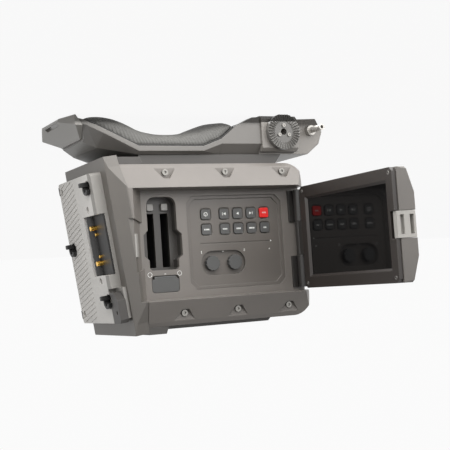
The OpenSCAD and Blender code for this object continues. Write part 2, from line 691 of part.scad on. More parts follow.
// A key: a round-cornered cap on a stem that stops short of the board
cap_t = 3.4;
key_proud = 0.5;
stem_d = 4;
record_red = [0.8, 0.12, 0.1];
module key_cap(i, shade) color(shade) {
    along_x(panel_face_x + key_proud - cap_t, panel_face_x + key_proud, moved(round_box(key_w, key_w, key_round), key_at(i)));
    bar_x([panel_back_x - control_gap + key_travel + fit, key_at(i)[0], key_at(i)[1]], stem_d,
        panel_face_x + key_proud - cap_t - panel_back_x + control_gap - key_travel - fit);
}
module key_power() key_cap(0, key_grey);
module key_next() key_cap(1, key_grey);
module key_play() key_cap(2, key_grey);
module key_previous() key_cap(3, key_grey);
module key_record() key_cap(4, record_red);
module key_iris() key_cap(5, key_grey);
module key_focus() key_cap(6, key_grey);
module key_display() key_cap(7, key_grey);
module key_slot() key_cap(8, key_grey);
module key_menu() key_cap(9, key_grey);

// A level dial: a scalloped knob on its shaft
dial_t = 4.2;
scallop_n = 12;
scallop_d = 2.4;
scallop_lap = 0.5;
module dial(i) color(key_grey) translate([0, dial_y + dial_pitch * i, dial_z]) {
    difference() {
        bar_x([dial_recess_x + fit, 0, 0], dial_d, dial_t);
        for (k = [0:scallop_n - 1]) rotate([360 * k / scallop_n, 0, 0])
            bar_x([dial_recess_x, 0, (dial_d + scallop_d) / 2 - scallop_lap], scallop_d, dial_t + over);
    }
    bar_x([panel_back_x - control_gap + fit, 0, 0], dial_shaft_d, dial_recess_x - panel_back_x + control_gap);
}
module dial_left() dial(1);
module dial_right() dial(0);

// Card bay: a tray behind the floor, with two slots and two holes for the eject buttons
bay_sink = 11;
bay_floor_x = recess_x - bay_sink;
bay_back_x = bay_floor_x - wall;
slot_pitch = 13.3;
slot_lift = 5.4;
eject_w = 5.6;
eject_gap = 5.3;
eject_round = 1;
eject_z = bay_z + slot_lift - slot_h / 2 - eject_gap;
function slot_y(i) = bay_y + slot_pitch * (1 / 2 - i);
bay_wall = 1.6;
module card_bay() color(dark_alloy) difference() {
    union() {
        box([bay_back_x, bay_y - bay_l / 2 - wing_d - bay_wall, bay_z - bay_h / 2 - bay_wall],
            [core_x, bay_y + bay_l / 2 + wing_d + bay_wall, bay_z + bay_h / 2 + bay_wall]);
    }
    along_x(bay_floor_x, core_x + over, bay_outline());
    for (i = [0:1]) {
        box([bay_back_x - over, slot_y(i) - slot_w / 2, bay_z + slot_lift - slot_h / 2],
            [core_x, slot_y(i) + slot_w / 2, bay_z + slot_lift + slot_h / 2]);
        along_x(bay_back_x - over, core_x, moved(round_box(eject_w + 2 * fit, eject_w + 2 * fit, eject_round), [slot_y(i), eject_z]));
    }
}
cage_wall = 0.8;
module card_sockets() color(steel) for (i = [0:1]) difference() {
    box([main_board_x + board_t, slot_y(i) - slot_w / 2 - cage_wall, bay_z + slot_lift - slot_h / 2 - cage_wall],
        [bay_back_x, slot_y(i) + slot_w / 2 + cage_wall, bay_z + slot_lift + slot_h / 2 + cage_wall]);
    box([main_board_x + board_t + cage_wall, slot_y(i) - slot_w / 2, bay_z + slot_lift - slot_h / 2],
        [bay_back_x + over, slot_y(i) + slot_w / 2, bay_z + slot_lift + slot_h / 2]);
}
eject_proud = 2.5;
eject_back = 3;
module card_eject(i) color(pale_alloy) along_x(bay_back_x - eject_back, bay_floor_x + eject_proud,
    moved(round_box(eject_w, eject_w, eject_round - fit), [slot_y(i), eject_z]));
module card_eject_a() card_eject(0);
module card_eject_b() card_eject(1);

// Socket cover: a flap hinged along its lower edge, and the socket behind it
usb_pocket = 2.6;
flap_t = 2;
flap_barrel = 2.2;
flap_axis_x = recess_x - usb_pocket + fit + flap_barrel / 2;
flap_axis_z = usb_z - usb_h / 2 + fit + flap_barrel / 2;
flap_half = usb_l / 2 - usb_round;
flap_rise_z = flap_axis_z + recess_x - flap_axis_x + fit;
module usb_cover() color(key_grey) {
    intersection() {
        along_x(flap_axis_x - flap_t / 2, flap_axis_x + flap_t / 2,
            moved(round_box(usb_l - 2 * fit, usb_h - 2 * fit, usb_round - fit), [bay_y, usb_z]));
        along_x(0, far, [[bay_y - flap_half, flap_axis_z], [bay_y + flap_half, flap_axis_z],
            [bay_y + flap_half, flap_rise_z], [far, flap_rise_z], [far, far], [-far, far], [-far, flap_rise_z],
            [bay_y - flap_half, flap_rise_z]]);
    }
    bar_y([flap_axis_x, bay_y - flap_half, flap_axis_z], flap_barrel, 2 * flap_half);
}
usb_port = [8.9, 3.2];
usb_depth = 10;
module usb_socket() color(steel) difference() {
    along_x(core_x - usb_depth, core_x, moved(round_box(usb_l, usb_h, usb_round), [bay_y, usb_z]));
    along_x(core_x - usb_depth + cup_wall, core_x + over,
        moved(round_box(usb_port[0], usb_port[1], usb_port[1] / 2 - seat), [bay_y, usb_z]));
}

// Catch plate on the recess's slanted wall, which the monitor's latch grips
catch_half = 9.6;
catch_t = 1.4;
catch_run = 7;
catch_x = [side_x - catch_run, side_x - pocket_d];
function pocket_y(x) = recess_end_y + pocket_d + (x - recess_x) * (wall_run - pocket_d) / (recess_depth - pocket_d);
module latch_catch() color(alloy) along_z(mid_z - catch_half, mid_z + catch_half, [
    [catch_x[0], pocket_y(catch_x[0])], [catch_x[0], pocket_y(catch_x[0]) - catch_t],
    [catch_x[1], pocket_y(catch_x[1]) - catch_t], [catch_x[1], pocket_y(catch_x[1])]]);

// Fixed half of the hinge: two leaves on the recess floor, each with a barrel
knuckle_d = 10;
knuckle_half = 15;
leaf_t = 2;
leaf_w = 8;
leaf_end = 2.5;
module hinge_leaf(z0, z1) difference() {
    union() {
        box([recess_x, hinge_y - knuckle_d / 2 + over, z0], [recess_x + leaf_t, hinge_y + leaf_w, z1]);
        box([recess_x, hinge_y - leaf_t, z0], [hinge_x, hinge_y + leaf_t, z1]);
        bar_z([hinge_x, hinge_y, z0], knuckle_d, z1 - z0);
    }
    bar_z([hinge_x, hinge_y, z0 - over], hinge_pin_d, z1 - z0 + 2 * over);
}
module hinge_leaves() color(dark_alloy) {
    hinge_leaf(recess_z0 + leaf_end, mid_z - knuckle_half - fit);
    hinge_leaf(mid_z + knuckle_half + fit, recess_z1 - leaf_end);
}
module hinge_pin() color(steel) bar_z([hinge_x, hinge_y, recess_z0 + leaf_end], hinge_pin_d, recess_z1 - recess_z0 - 2 * leaf_end);

// Moving half of the hinge: a barrel on the pin and the shaft that the monitor swivels on
swivel_y = bezel_y - monitor_t / 2;
yoke_half = 6.5;
yoke_gap = 0.5;
shaft_l = 14;
module hinge_block() color(dark_alloy) difference() {
    union() {
        bar_z([hinge_x, hinge_y, mid_z - knuckle_half], knuckle_d, 2 * knuckle_half);
        box([hinge_x, swivel_y - yoke_half, mid_z - knuckle_half], [monitor_x - yoke_gap, swivel_y + yoke_half, mid_z + knuckle_half]);
        bar_x([monitor_x - yoke_gap - over, swivel_y, mid_z], swivel_d, shaft_l + yoke_gap + over);
    }
    bar_z([hinge_x, hinge_y, mid_z - knuckle_half - over], hinge_pin_d + fit, 2 * knuckle_half + 2 * over);
}

// Monitor: front housing, back shell, screen glass and latch
front_shell_t = 4;
split_y = bezel_y - front_shell_t;
monitor_back_y = bezel_y - monitor_t;
monitor_corner = 3;
bezel_slope = 3;
glass_drop = 2;
glass_t = 1.4;
end_run = 4;
latch_half = 10.4;
latch_l = 7.4;
latch_travel = 2;
latch_pitch = 8;
latch_edge = 1.2;
latch_window = [3.2, 15];
latch_pit = 5;
long_bevel = 20;
screen_x = (monitor_x + monitor_end_x) / 2;
module frustum_y(y0, y1, c, s0, s1) loft([for (k = [0:1]) let (y = [y0, y1][k], s = [s0, s1][k])
    [for (q = [[1, 1], [-1, 1], [-1, -1], [1, -1]]) [c[0] + q[0] * s[0] / 2, y, c[1] + q[1] * s[1] / 2]]]);
module latch_notch(g) box([monitor_end_x - latch_travel - latch_l + end_run - fit, -far, mid_z - latch_half - g],
    [far, far, mid_z + latch_half + g]);
module swivel_bore() bar_x([monitor_x - over, swivel_y, mid_z], swivel_d + fit, shaft_l + over + fit);
module monitor_front() color(black) difference() {
    along_y(split_y, bezel_y, moved(cut_box(monitor_l, monitor_h, monitor_corner), [screen_x, mid_z]));
    frustum_y(bezel_y + over, bezel_y - glass_drop, [screen_x, mid_z],
        [screen_l + 2 * bezel_slope, screen_h + 2 * bezel_slope], [screen_l, screen_h]);
    box([screen_x - screen_l / 2, split_y - over, mid_z - screen_h / 2], [screen_x + screen_l / 2, bezel_y, mid_z + screen_h / 2]);
    latch_notch(fit);
}
shell_t = 2.4;
hollow_end = 20;
module monitor_back() color(alloy) difference() {
    intersection() {
        along_x(monitor_x, monitor_end_x + end_run, [[split_y, monitor_z0], [bezel_y - monitor_edge_t, monitor_z0],
            [monitor_back_y, monitor_z0 + long_bevel], [monitor_back_y, monitor_z1 - long_bevel],
            [bezel_y - monitor_edge_t, monitor_z1], [split_y, monitor_z1]]);
        along_z(monitor_z0, monitor_z1, [[monitor_x, split_y], [monitor_x, monitor_back_y],
            [monitor_end_x + end_run, monitor_back_y], [monitor_end_x + over, split_y]]);
        along_y(monitor_back_y, split_y, moved(cut_box(monitor_l + 2 * end_run, monitor_h, monitor_corner), [screen_x, mid_z]));
    }
    box([monitor_x + shaft_l + shell_t, monitor_back_y + shell_t, monitor_z0 + long_bevel], [monitor_end_x - hollow_end, split_y + over, monitor_z1 - long_bevel]);
    swivel_bore();
    latch_notch(fit);
}
module monitor_screen() color([0.03, 0.03, 0.04])
    box([screen_x - screen_l / 2, bezel_y - glass_drop - glass_t, mid_z - screen_h / 2],
        [screen_x + screen_l / 2, bezel_y - glass_drop, mid_z + screen_h / 2]);
module monitor_latch() color(alloy) difference() {
    along_z(mid_z - latch_half, mid_z + latch_half, [[monitor_end_x - latch_l + end_run, bezel_y - latch_edge],
        [monitor_end_x - latch_l + end_run, monitor_back_y + fit], [monitor_end_x + end_run, monitor_back_y + fit],
        [monitor_end_x + over, bezel_y - latch_edge]]);
    for (k = [-1, 1]) box([monitor_end_x + end_run - latch_pit, swivel_y - over + k * latch_pitch / 2 - latch_window[0] / 2, mid_z - latch_window[1] / 2],
        [far, swivel_y - over + k * latch_pitch / 2 + latch_window[0] / 2, mid_z + latch_window[1] / 2]);
}

// Battery plate on the rear face: a flange, a raised body with a notch for the contacts, and three key slots
plate_shift = 4.5;
plate_x0 = -plate_w / 2 - plate_shift;
plate_x1 = plate_w / 2 - plate_shift;
plate_z0 = (rear_face_l - plate_h) / 2 - over;
plate_z1 = plate_z0 + plate_h;
plate_round = 3;
plate_flange_t = 3;
contact_x0 = 3.4;
contact_up = [34.5, 85.5];
contact_z = [for (u = contact_up) plate_z0 + u];
lever_h = 29;
lever_z0 = plate_z1 - lever_h;
lever_x0 = 31;
slot_across = [27, 28, -36];
slot_up = [11.5, 107.5, 60];
slot_places = [for (i = [0:2]) [slot_across[i], plate_z0 + slot_up[i]]];
slot_hole_d = 12.4;
slot_arm_l = 9.5;
slot_floor = 2.6;
plate_screw_across = [17, -40];
plate_screw_up = [29, 90];
plate_screw_inset = 8;
plate_screws = [[plate_screw_across[0], plate_z0 + plate_screw_up[0]], [plate_screw_across[0], plate_z0 + plate_screw_up[1]],
    [plate_screw_across[1], plate_z0 + plate_screw_inset], [plate_screw_across[1], plate_z1 - plate_screw_inset]];
plate_screw_floor = 5;
plate_groove_n = 33;
plate_groove_pitch = 4.3;
plate_groove_w = 0.7;
plate_groove_d = 0.5;
plate_groove_angle = 15;
plate_groove_x = -8;
plate_groove_lead = 3;
plate_margin = 1.6;
lever_pin_d = 3;
lever_pin_across = 44;
lever_pin_down = 9;
lever_pin = [lever_pin_across, plate_z1 - lever_pin_down];
plate_mid = [(plate_x0 + plate_x1) / 2, (plate_z0 + plate_z1) / 2];
module key_slot_hole(p) on_rear() {
    bar_y([p[0], slot_floor, p[1]], slot_hole_d, far);
    box([p[0] - slot_arm_l, slot_floor, p[1] - key_slot_w / 2], [p[0], far, p[1] + key_slot_w / 2]);
}
module battery_plate() color(pale_alloy) difference() {
    on_rear() union() {
        along_y(0, plate_flange_t, moved(round_box(plate_w, plate_h, plate_round), plate_mid));
        difference() {
            along_y(plate_flange_t, plate_t, moved(round_box(plate_w, plate_h, plate_round), plate_mid));
            box([contact_x0, 0, contact_z[0]], [far, far, contact_z[1]]);
            box([lever_x0, 0, lever_z0], [far, far, far]);
        }
        box([lever_x0, 0, lever_z0], [lever_pin[0] + lever_pin_d, plate_flange_t, plate_z1 - plate_round]);
        bar_y([lever_pin[0], plate_flange_t - over, lever_pin[1]], lever_pin_d, plate_t - plate_flange_t + over);
    }
    for (p = slot_places) key_slot_hole(p);
    for (p = plate_screws) on_rear() {
        bar_y([p[0], -over, p[1]], screw_d + 2 * seat, far);
        bar_y([p[0], plate_screw_floor, p[1]], screw_head_d + 2 * seat, far);
    }
    on_rear() intersection() {
        box([plate_x0 + plate_margin, plate_t - plate_groove_d, plate_z0 + plate_margin], [plate_groove_x, far, plate_z1 - plate_margin]);
        for (i = [0:plate_groove_n - 1]) translate([plate_groove_x, 0, plate_z0 + plate_groove_pitch * (i - plate_groove_lead)])
            rotate([0, plate_groove_angle, 0]) box([-far, 0, -plate_groove_w / 2], [far, far, plate_groove_w / 2]);
    }
}
ridge_d = 9;
ridge_x = 9;
block_t = 1.6;
module contact_block() color(black) on_rear() {
    box([contact_x0 + seat, plate_flange_t, contact_z[0] + seat], [plate_x1 - over, plate_flange_t + block_t, contact_z[1] - seat]);
    intersection() {
        translate([ridge_x, plate_flange_t + block_t, contact_z[0] + seat]) cylinder(h = contact_z[1] - contact_z[0] - 2 * seat, d = ridge_d);
        box([-far, plate_flange_t + block_t, 0], [far, far, far]);
    }
}
pin_x = 16.5;
pin_big_d = 4;
pin_small_d = 2.6;
pin_big_l = 5.4;
pin_small_l = 2;
pin_rise = 10.5;
pin_step = 5.6;
module contact_pins() color(gold) on_rear() for (k = [0:1]) let (s = k == 0 ? 1 : -1) {
    bar_y([pin_x, plate_flange_t + block_t, contact_z[k] + s * pin_rise], pin_big_d, pin_big_l);
    bar_y([pin_x, plate_flange_t + block_t, contact_z[k] + s * (pin_rise + pin_step)], pin_small_d, pin_small_l);
}
clip_t = 1.6;
clip_bore = 6.4;
module slot_clips() color(black) on_rear() for (p = slot_places) difference() {
    bar_y([p[0], slot_floor, p[1]], slot_hole_d - 2 * seat, clip_t);
    bar_y([p[0], slot_floor - over, p[1]], clip_bore, clip_t + 2 * over);
}

// Release lever: a hooked plate that turns on a pin beside the lower key slot
lever_t = 8;
lever_edge = 3;
lever_cut = 7;
lever_gap = 2.4;
lever_reach = 5.5;
lever_bite = 17;
module battery_lever() color(dark_alloy) on_rear() difference() {
    along_y(plate_flange_t + fit, plate_flange_t + fit + lever_t - over, [
        [lever_x0 + lever_gap, lever_z0 + lever_edge], [lever_pin[0] - lever_gap, lever_z0 + lever_edge],
        [lever_pin[0] + lever_reach, lever_z0 + lever_edge + lever_cut],
        [lever_pin[0] + lever_reach, plate_z1 - lever_edge], [lever_pin[0] + lever_edge, plate_z1],
        [lever_x0 + lever_gap, plate_z1]]);
    bar_y([slot_places[1][0], 0, slot_places[1][1]], lever_bite, far);
    bar_y([lever_pin[0], 0, lever_pin[1]], lever_pin_d + fit, far);
}

// Screws of the side covers, the battery plate and the lens mount
module cover_screws() color(steel) {
    both_sides() for (s = band_screws) screw_x([notch_x, s[0], s[1]]);
    for (p = plate_screws) on_rear() screw_y([p[0], plate_screw_floor, p[1]], plate_screw_floor + screw_l - over);
    for (a = mount_screw_angles) translate(mount_screw(a, flange_y + screw_head_h + seat))
        rotate([0, 0, 2 * quarter]) screw_y([0, 0, 0], mount_screw_l);
}

// Shoulder base: stations of the tray, each its Y, the heights of its underside, rim and top, and the half-widths of rim and top
front_block_y = 20;
tray_top_z = 33.5;
tray_back = [30, 16.7, 7.5];
tray_stations = [
    [59.4, 20.5, 24.9, tray_top_z, 48, 40],
    [77.4, 27, 31.2, tray_top_z, 48, 43],
    [137.2, 26.7, 31.1, tray_top_z, 48, 44],
    [tail_reach - tray_back[0], 12.1, 16, 26, 48, 30],
    [tail_reach - tray_back[1], 5.2, 9.5, 18.6, 46, 24],
    [tail_reach - tray_back[2], 3, 7, 9, 45, 36]
];
base_scale = base_w / (2 * tray_stations[0][4]);
pad_front = [44.4, 9];
pad_back = [50, 32, 17.4, 12.4];
pad_rear = [tail_reach - pad_back[3], 3.2];
arm_w_share = 0.21;
arm_top_z = 24.9;
arm_outline = [[front_block_y, arm_top_z], [front_block_y, 1], [28.2, 1.5], pad_front,
    [tray_stations[0][0], tray_stations[0][1]], [tray_stations[0][0], arm_top_z]];
ramp_t = 3.4;
module shoulder_tray() color(alloy) difference() {
    union() {
        loft([for (s = tray_stations) let (a = s[4] * base_scale, b = s[5] * base_scale)
            [[-a, s[0], s[1]], [-a, s[0], s[2]], [-b, s[0], s[3]], [b, s[0], s[3]], [a, s[0], s[2]], [a, s[0], s[1]]]]);
        along_y(front_block_y, tray_stations[0][0], [[-base_w / 2, arm_top_z], [base_w / 2, arm_top_z],
            [tray_stations[0][5] * base_scale, tray_top_z], [-tray_stations[0][5] * base_scale, tray_top_z]]);
        along_x(-base_w / 2, base_w / 2, [pad_front, [tray_stations[0][0], tray_stations[0][1]],
            [tray_stations[0][0], arm_top_z], [tray_stations[0][0] - ramp_t, arm_top_z], pad_front + [-ramp_t, 0]]);
        both_sides() along_x(base_w * (1 / 2 - arm_w_share / 2), base_w / 2, arm_outline);
    }
    along_x(-far, far, [cap_seam[0], [far, cap_z[0]], [far, far], [cap_seam[1][0], far], cap_seam[1]]);
}

// Tail cap: a wedge with a slanted rear face and chamfered corners, and a strap slot through its lip
cap_back = [7.8, 0.6, 17.6, 19.5];
cap_z = [0.8, 3, 18.2];
cap_seam = [[tail_reach - cap_back[0], cap_z[0]], [tail_reach - cap_back[3], cap_z[2]]];
cap_outline = [cap_seam[0], [tail_reach - cap_back[1], cap_z[0]], [tail_reach, cap_z[1]],
    [tail_reach - cap_back[2], cap_z[2]], cap_seam[1]];
cap_inset = 2;
cap_x = base_w / 2 - cap_inset;
cap_corner = [24, 7];
cap_side = [22, 9.1];
cap_side_z = tray_stations[4][2];
strap_slot = [32, 3];
strap_back = 2.6;
strap_z = 3.4;
strap_tilt = 60;
module tail_cap() color(dark_alloy) difference() {
    intersection() {
        along_x(-cap_x, cap_x, cap_outline);
        along_z(-over, far, [[-cap_x, 0], [cap_x, 0], [cap_x, tail_reach - cap_corner[1]],
            [cap_x - cap_corner[0], tail_reach], [cap_corner[0] - cap_x, tail_reach],
            [-cap_x, tail_reach - cap_corner[1]]]);
        along_y(0, far, [[-cap_x, -over], [cap_x, -over], [cap_x, cap_side_z],
            [cap_x - cap_side[0], cap_side_z + cap_side[1]], [cap_side[0] - cap_x, cap_side_z + cap_side[1]],
            [-cap_x, cap_side_z]]);
    }
    translate([0, tail_reach - strap_back, strap_z]) rotate([strap_tilt, 0, 0])
        box([-strap_slot[0] / 2, -far, -strap_slot[1] / 2], [strap_slot[0] / 2, far, strap_slot[1] / 2]);
}

// Shoulder pad: sections across the width, full in the middle and drawn in at both sides
pad_low = [pad_front, [48.2, 4.7], [59.2, 4.8], [92.5, 17], [126.2, 16.8], [tail_reach - pad_back[0], 6],
    [tail_reach - pad_back[1], 0], [tail_reach - pad_back[2], 0], pad_rear];
pad_high = [pad_rear, [tray_stations[4][0], tray_stations[4][1]], [tray_stations[3][0], tray_stations[3][1]],
    [tray_stations[2][0], tray_stations[2][1]], [tray_stations[1][0], tray_stations[1][1]],
    [tray_stations[0][0], tray_stations[0][1]], pad_front];
pad_inset = 1.5;
pad_n = 12;
pad_crown = 3;
pad_crest_y = [52, 100];
pad_edge_share = 0.84;
pad_edge_power = 8;
pad_line = soften(soften(pad_low));
function sorted(v) = len(v) < 2 ? v : let (rest = [for (i = [1:len(v) - 1]) v[i]])
    concat(sorted([for (q = rest) if (q < v[0]) q]), [v[0]], sorted([for (q = rest) if (q >= v[0]) q]));
pad_ys = sorted(concat([for (q = pad_high) q[0]],
    [for (q = pad_line) if (min([for (r = pad_high) abs(r[0] - q[0])]) > over) q[0]]));
function seam_z(y) = lookup(y, [for (i = [len(pad_high) - 1:-1:0]) pad_high[i]]);
function pad_fullness(t) = 1 - (1 - pad_edge_share) * pow(abs(t), pad_edge_power);
function pad_crown_at(y) = pad_crown * lookup(y, [[pad_front[0], 0], [pad_crest_y[0], 1], [pad_crest_y[1], 0]]);
function pad_z(y, t) = seam_z(y) - (seam_z(y) - lookup(y, pad_line)) * pad_fullness(t) - pad_crown_at(y) * (1 - t * t);
module shoulder_pad() color(black) {
    n = len(pad_ys);
    loft([for (j = [0:pad_n]) let (t = 2 * j / pad_n - 1, x = sign(t) * pow(abs(t), near_share) * (base_w / 2 - pad_inset))
        concat([for (y = pad_ys) [x, y, pad_z(y, t)]], [for (i = [n - 2:-1:1]) [x, pad_ys[i], seam_z(pad_ys[i])]])],
        concat([[0, 1, 2 * n - 3]], [for (i = [1:n - 3]) [i, i + 1, 2 * n - 3 - i, 2 * n - 2 - i]], [[n - 2, n - 1, n]]));
}

// Front block of the base, with the tripod thread in its underside
block_w = 100;
block_h = 31.7;
block_front_y = -16.5;
block_cut = 3;
thread_l = 14;
rod_z = 15;
rosette_x = block_w / 2;
rosette_z = 15;
rosette_bore = 6;
rosette_bore_l = 10;
module front_block() color(dark_alloy) difference() {
    intersection() {
        along_x(-block_w / 2, block_w / 2, [[block_front_y, 0], [front_block_y, 0], [front_block_y, block_h], [block_front_y, block_h]]);
        along_y(block_front_y, front_block_y, moved(cut_box(block_w, block_h, block_cut), [0, block_h / 2]));
    }
    bar_z([0, 0, -over], thread_d, thread_l + over);
    both_sides() {
        bar_x([rosette_x - rosette_bore_l, 0, rosette_z], rosette_bore, far);
        for (p = rosette_holes) bar_x([rosette_x - screw_l, p[0], p[1]], rosette_screw_d + 2 * seat, far);
    }
}

// Rod block: the plate over the front block and the nose that grips the rods
nose_w = 84;
nose_outline = [[front_block_y, block_h], [front_block_y, tray_top_z], [block_front_y - 14, tray_top_z],
    [4.2 - nose_reach, 24], [-nose_reach, 12.9], [6.2 - nose_reach, 0.9], [block_front_y, 1.8], [block_front_y, block_h]];
clamp_y = -34;
clamp_z = 12;
clamp_bore = 5;
clamp_in = 3.5;
module rod_block() color(dark_alloy) difference() {
    along_x(-nose_w / 2, nose_w / 2, nose_outline);
    both_sides() bar_y([rod_pitch / 2, -far, rod_z], rod_d, far + block_front_y + over);
    bar_x([nose_w / 2 - clamp_in, clamp_y, clamp_z], clamp_bore + fit, far);
}

// Rosettes: discs with a ring of radial teeth about a flat centre
tooth_n = 36;
tooth_d = 1.2;
tooth_ring_d = 19;
rosette_centre_d = 16;
rosette_centre_drop = 0.8;
rosette_top = rosette_span / 2;
rosette_screw_r = 5.6;
rosette_screw_d = 2;
rosette_head_d = 3.2;
rosette_head_h = 1.2;
rosette_holes = [for (k = [0:2]) [rosette_screw_r * cos(120 * k + 30), rosette_z + rosette_screw_r * sin(120 * k + 30)]];
module rosettes() both_sides() color(dark_alloy) difference() {
    bar_x([rosette_x, 0, rosette_z], rosette_d, rosette_top - rosette_x);
    bar_x([rosette_top - rosette_centre_drop - tooth_d / 2, 0, rosette_z], tooth_ring_d, far);
    for (k = [0:tooth_n - 1]) translate([rosette_top, 0, rosette_z]) rotate([360 * k / tooth_n, 0, 0])
        linear_extrude(rosette_d) polygon([[-tooth_d, 0], [over, -tooth_w], [over, tooth_w]]);
    bar_x([rosette_x - over, 0, rosette_z], rosette_bore, far);
    for (p = rosette_holes) bar_x([rosette_x - over, p[0], p[1]], rosette_screw_d + 2 * seat, far);
}
tooth_w = 2.2;
module rosette_screws() color(steel) both_sides() for (p = rosette_holes) difference() {
    union() {
        bar_x([rosette_seat_x, p[0], p[1]], rosette_head_d, rosette_head_h);
        bar_x([rosette_x - screw_l + over, p[0], p[1]], rosette_screw_d, rosette_seat_x - rosette_x + screw_l - over);
    }
    hex_x([rosette_seat_x + rosette_head_h / 2, p[0], p[1]], rosette_head_d / 2, rosette_head_h);
}
rosette_seat_x = rosette_top - rosette_centre_drop - tooth_d / 2;

// Clamp screw of the rods: a bar with a hub and a hollow end
clamp_hub_d = 9;
clamp_hub_l = 4;
clamp_bar_d = 5.5;
clamp_end_x = 64;
clamp_eye_d = 3;
clamp_eye_l = 6;
module clamp_screw() color(steel) difference() {
    union() {
        bar_x([nose_w / 2 - clamp_in + fit, clamp_y, clamp_z], clamp_bore, clamp_in);
        bar_x([nose_w / 2 + fit, clamp_y, clamp_z], clamp_hub_d, clamp_hub_l);
        bar_x([nose_w / 2 + fit, clamp_y, clamp_z], clamp_bar_d, clamp_end_x - nose_w / 2 - fit);
    }
    bar_x([clamp_end_x - clamp_eye_l, clamp_y, clamp_z], clamp_eye_d, far);
}

chassis();
front_casting();
left_frame();
right_cover();
rear_casting();
top_plate();
bottom_plate();
lens_mount();
lens_release();
sensor_housing();
sensor_filter();
sensor_board();
main_board();
heatsink();
fan_housing();
fan();
control_panel();
control_board();
key_power();
key_previous();
key_play();
key_next();
key_record();
key_iris();
key_focus();
key_display();
key_slot();
key_menu();
dial_left();
dial_right();
card_bay();
card_sockets();
card_eject_a();
card_eject_b();
usb_cover();
usb_socket();
latch_catch();
hinge_leaves();
hinge_pin();
hinge_block();
monitor_front();
monitor_back();
monitor_screen();
monitor_latch();
battery_plate();
contact_block();
contact_pins();
slot_clips();
battery_lever();
cover_screws();
audio_sockets();
signal_sockets();
shoulder_tray();
shoulder_pad();
tail_cap();
front_block();
rod_block();
rosettes();
rosette_screws();
clamp_screw();
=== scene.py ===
import bpy
import math
import numpy as np
from mathutils import Matrix, Vector


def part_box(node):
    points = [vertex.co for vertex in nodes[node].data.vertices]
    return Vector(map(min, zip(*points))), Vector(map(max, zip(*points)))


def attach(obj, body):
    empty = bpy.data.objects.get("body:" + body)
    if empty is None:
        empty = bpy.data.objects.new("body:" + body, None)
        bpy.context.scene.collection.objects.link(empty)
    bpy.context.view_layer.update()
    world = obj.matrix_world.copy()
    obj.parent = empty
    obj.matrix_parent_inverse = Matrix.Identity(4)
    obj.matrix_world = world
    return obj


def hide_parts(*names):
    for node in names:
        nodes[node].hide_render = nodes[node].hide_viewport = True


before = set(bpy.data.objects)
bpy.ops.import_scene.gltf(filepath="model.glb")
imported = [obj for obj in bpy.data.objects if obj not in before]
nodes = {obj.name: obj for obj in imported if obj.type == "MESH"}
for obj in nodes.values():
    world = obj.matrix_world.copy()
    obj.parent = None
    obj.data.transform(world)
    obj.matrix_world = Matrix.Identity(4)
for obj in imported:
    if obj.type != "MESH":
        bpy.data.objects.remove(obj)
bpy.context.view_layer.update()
print("frame loaded:", len(nodes), "nodes")

mm = 0.001


# a colour written as screen values from 0 to 255, turned into the linear values that a socket takes:
# c/12.92 below 0.04045, and ((c + 0.055) / 1.055) ^ 2.4 above it
def paint(red, green, blue):
    c = np.array([red, green, blue]) / 255
    linear = np.where(c <= 0.04045, c / 12.92, ((c + 0.055) / 1.055) ** 2.4)
    return (*[float(v) for v in linear], 1.0)


def joinNodes(tree, start, end):
    tree.links.new(start, end)


def addNode(tree, kind, **values):
    node = tree.nodes.new(kind)
    for name, value in values.items():
        if hasattr(node, name):
            setattr(node, name, value)
        else:
            node.inputs[name].default_value = value
    return node


# passes a value from one range to another, held at both ends
def mapRange(tree, value, fromRange, toRange=(0, 1)):
    node = addNode(tree, "ShaderNodeMapRange")
    for end, low, high in zip(("Min", "Max"), fromRange, toRange):
        node.inputs["From " + end].default_value = low
        node.inputs["To " + end].default_value = high
    joinNodes(tree, value, node.inputs["Value"])
    return node.outputs["Result"]


# a Math node, where each value is a number or what another node gives
def mathNode(tree, operation, *values):
    node = addNode(tree, "ShaderNodeMath", operation=operation)
    for socket, value in zip(node.inputs, values):
        if isinstance(value, (int, float)):
            socket.default_value = value
        else:
            joinNodes(tree, value, socket)
    return node.outputs["Value"]


# how far a place lies along a direction
def alongWay(tree, place, way):
    node = addNode(tree, "ShaderNodeVectorMath", operation="DOT_PRODUCT")
    node.inputs[1].default_value = way
    joinNodes(tree, place, node.inputs[0])
    return node.outputs["Value"]


def noiseNode(tree, place, scale, detail):
    node = addNode(tree, "ShaderNodeTexNoise", Scale=scale, Detail=detail)
    joinNodes(tree, place, node.inputs["Vector"])
    return node.outputs["Fac"]


# a colour that another takes over by a share: socket 0 is the share, 6 and 7 the colours, 2 what comes out
def mixColours(tree, share, first, second):
    node = addNode(tree, "ShaderNodeMix", data_type="RGBA")
    joinNodes(tree, share, node.inputs[0])
    joinNodes(tree, first, node.inputs[6])
    node.inputs[7].default_value = second
    return node.outputs[2]


# what a finish has when its own entry doesn't say: radius and depth in mm, scales per metre, details in octaves,
# and the ranges over which the patches and the edges are read
plainFinish = {
    "patchScale": 28, "patchDetail": 3, "patch": 0.06, "patchRange": (0.3, 0.7),
    "edgeRadius": 0.5, "edgeSamples": 4, "edgeRange": (0.995, 0.9), "wear": 0.5, "rubScale": 160, "rubDetail": 4,
    "grainScale": 1600, "grainDetail": 2, "bump": 0.25, "bumpDepth": 0.08, "roughSpread": 0.05,
    "metal": 0, "gloss": 0.5, "coat": 0, "clear": 0,
}


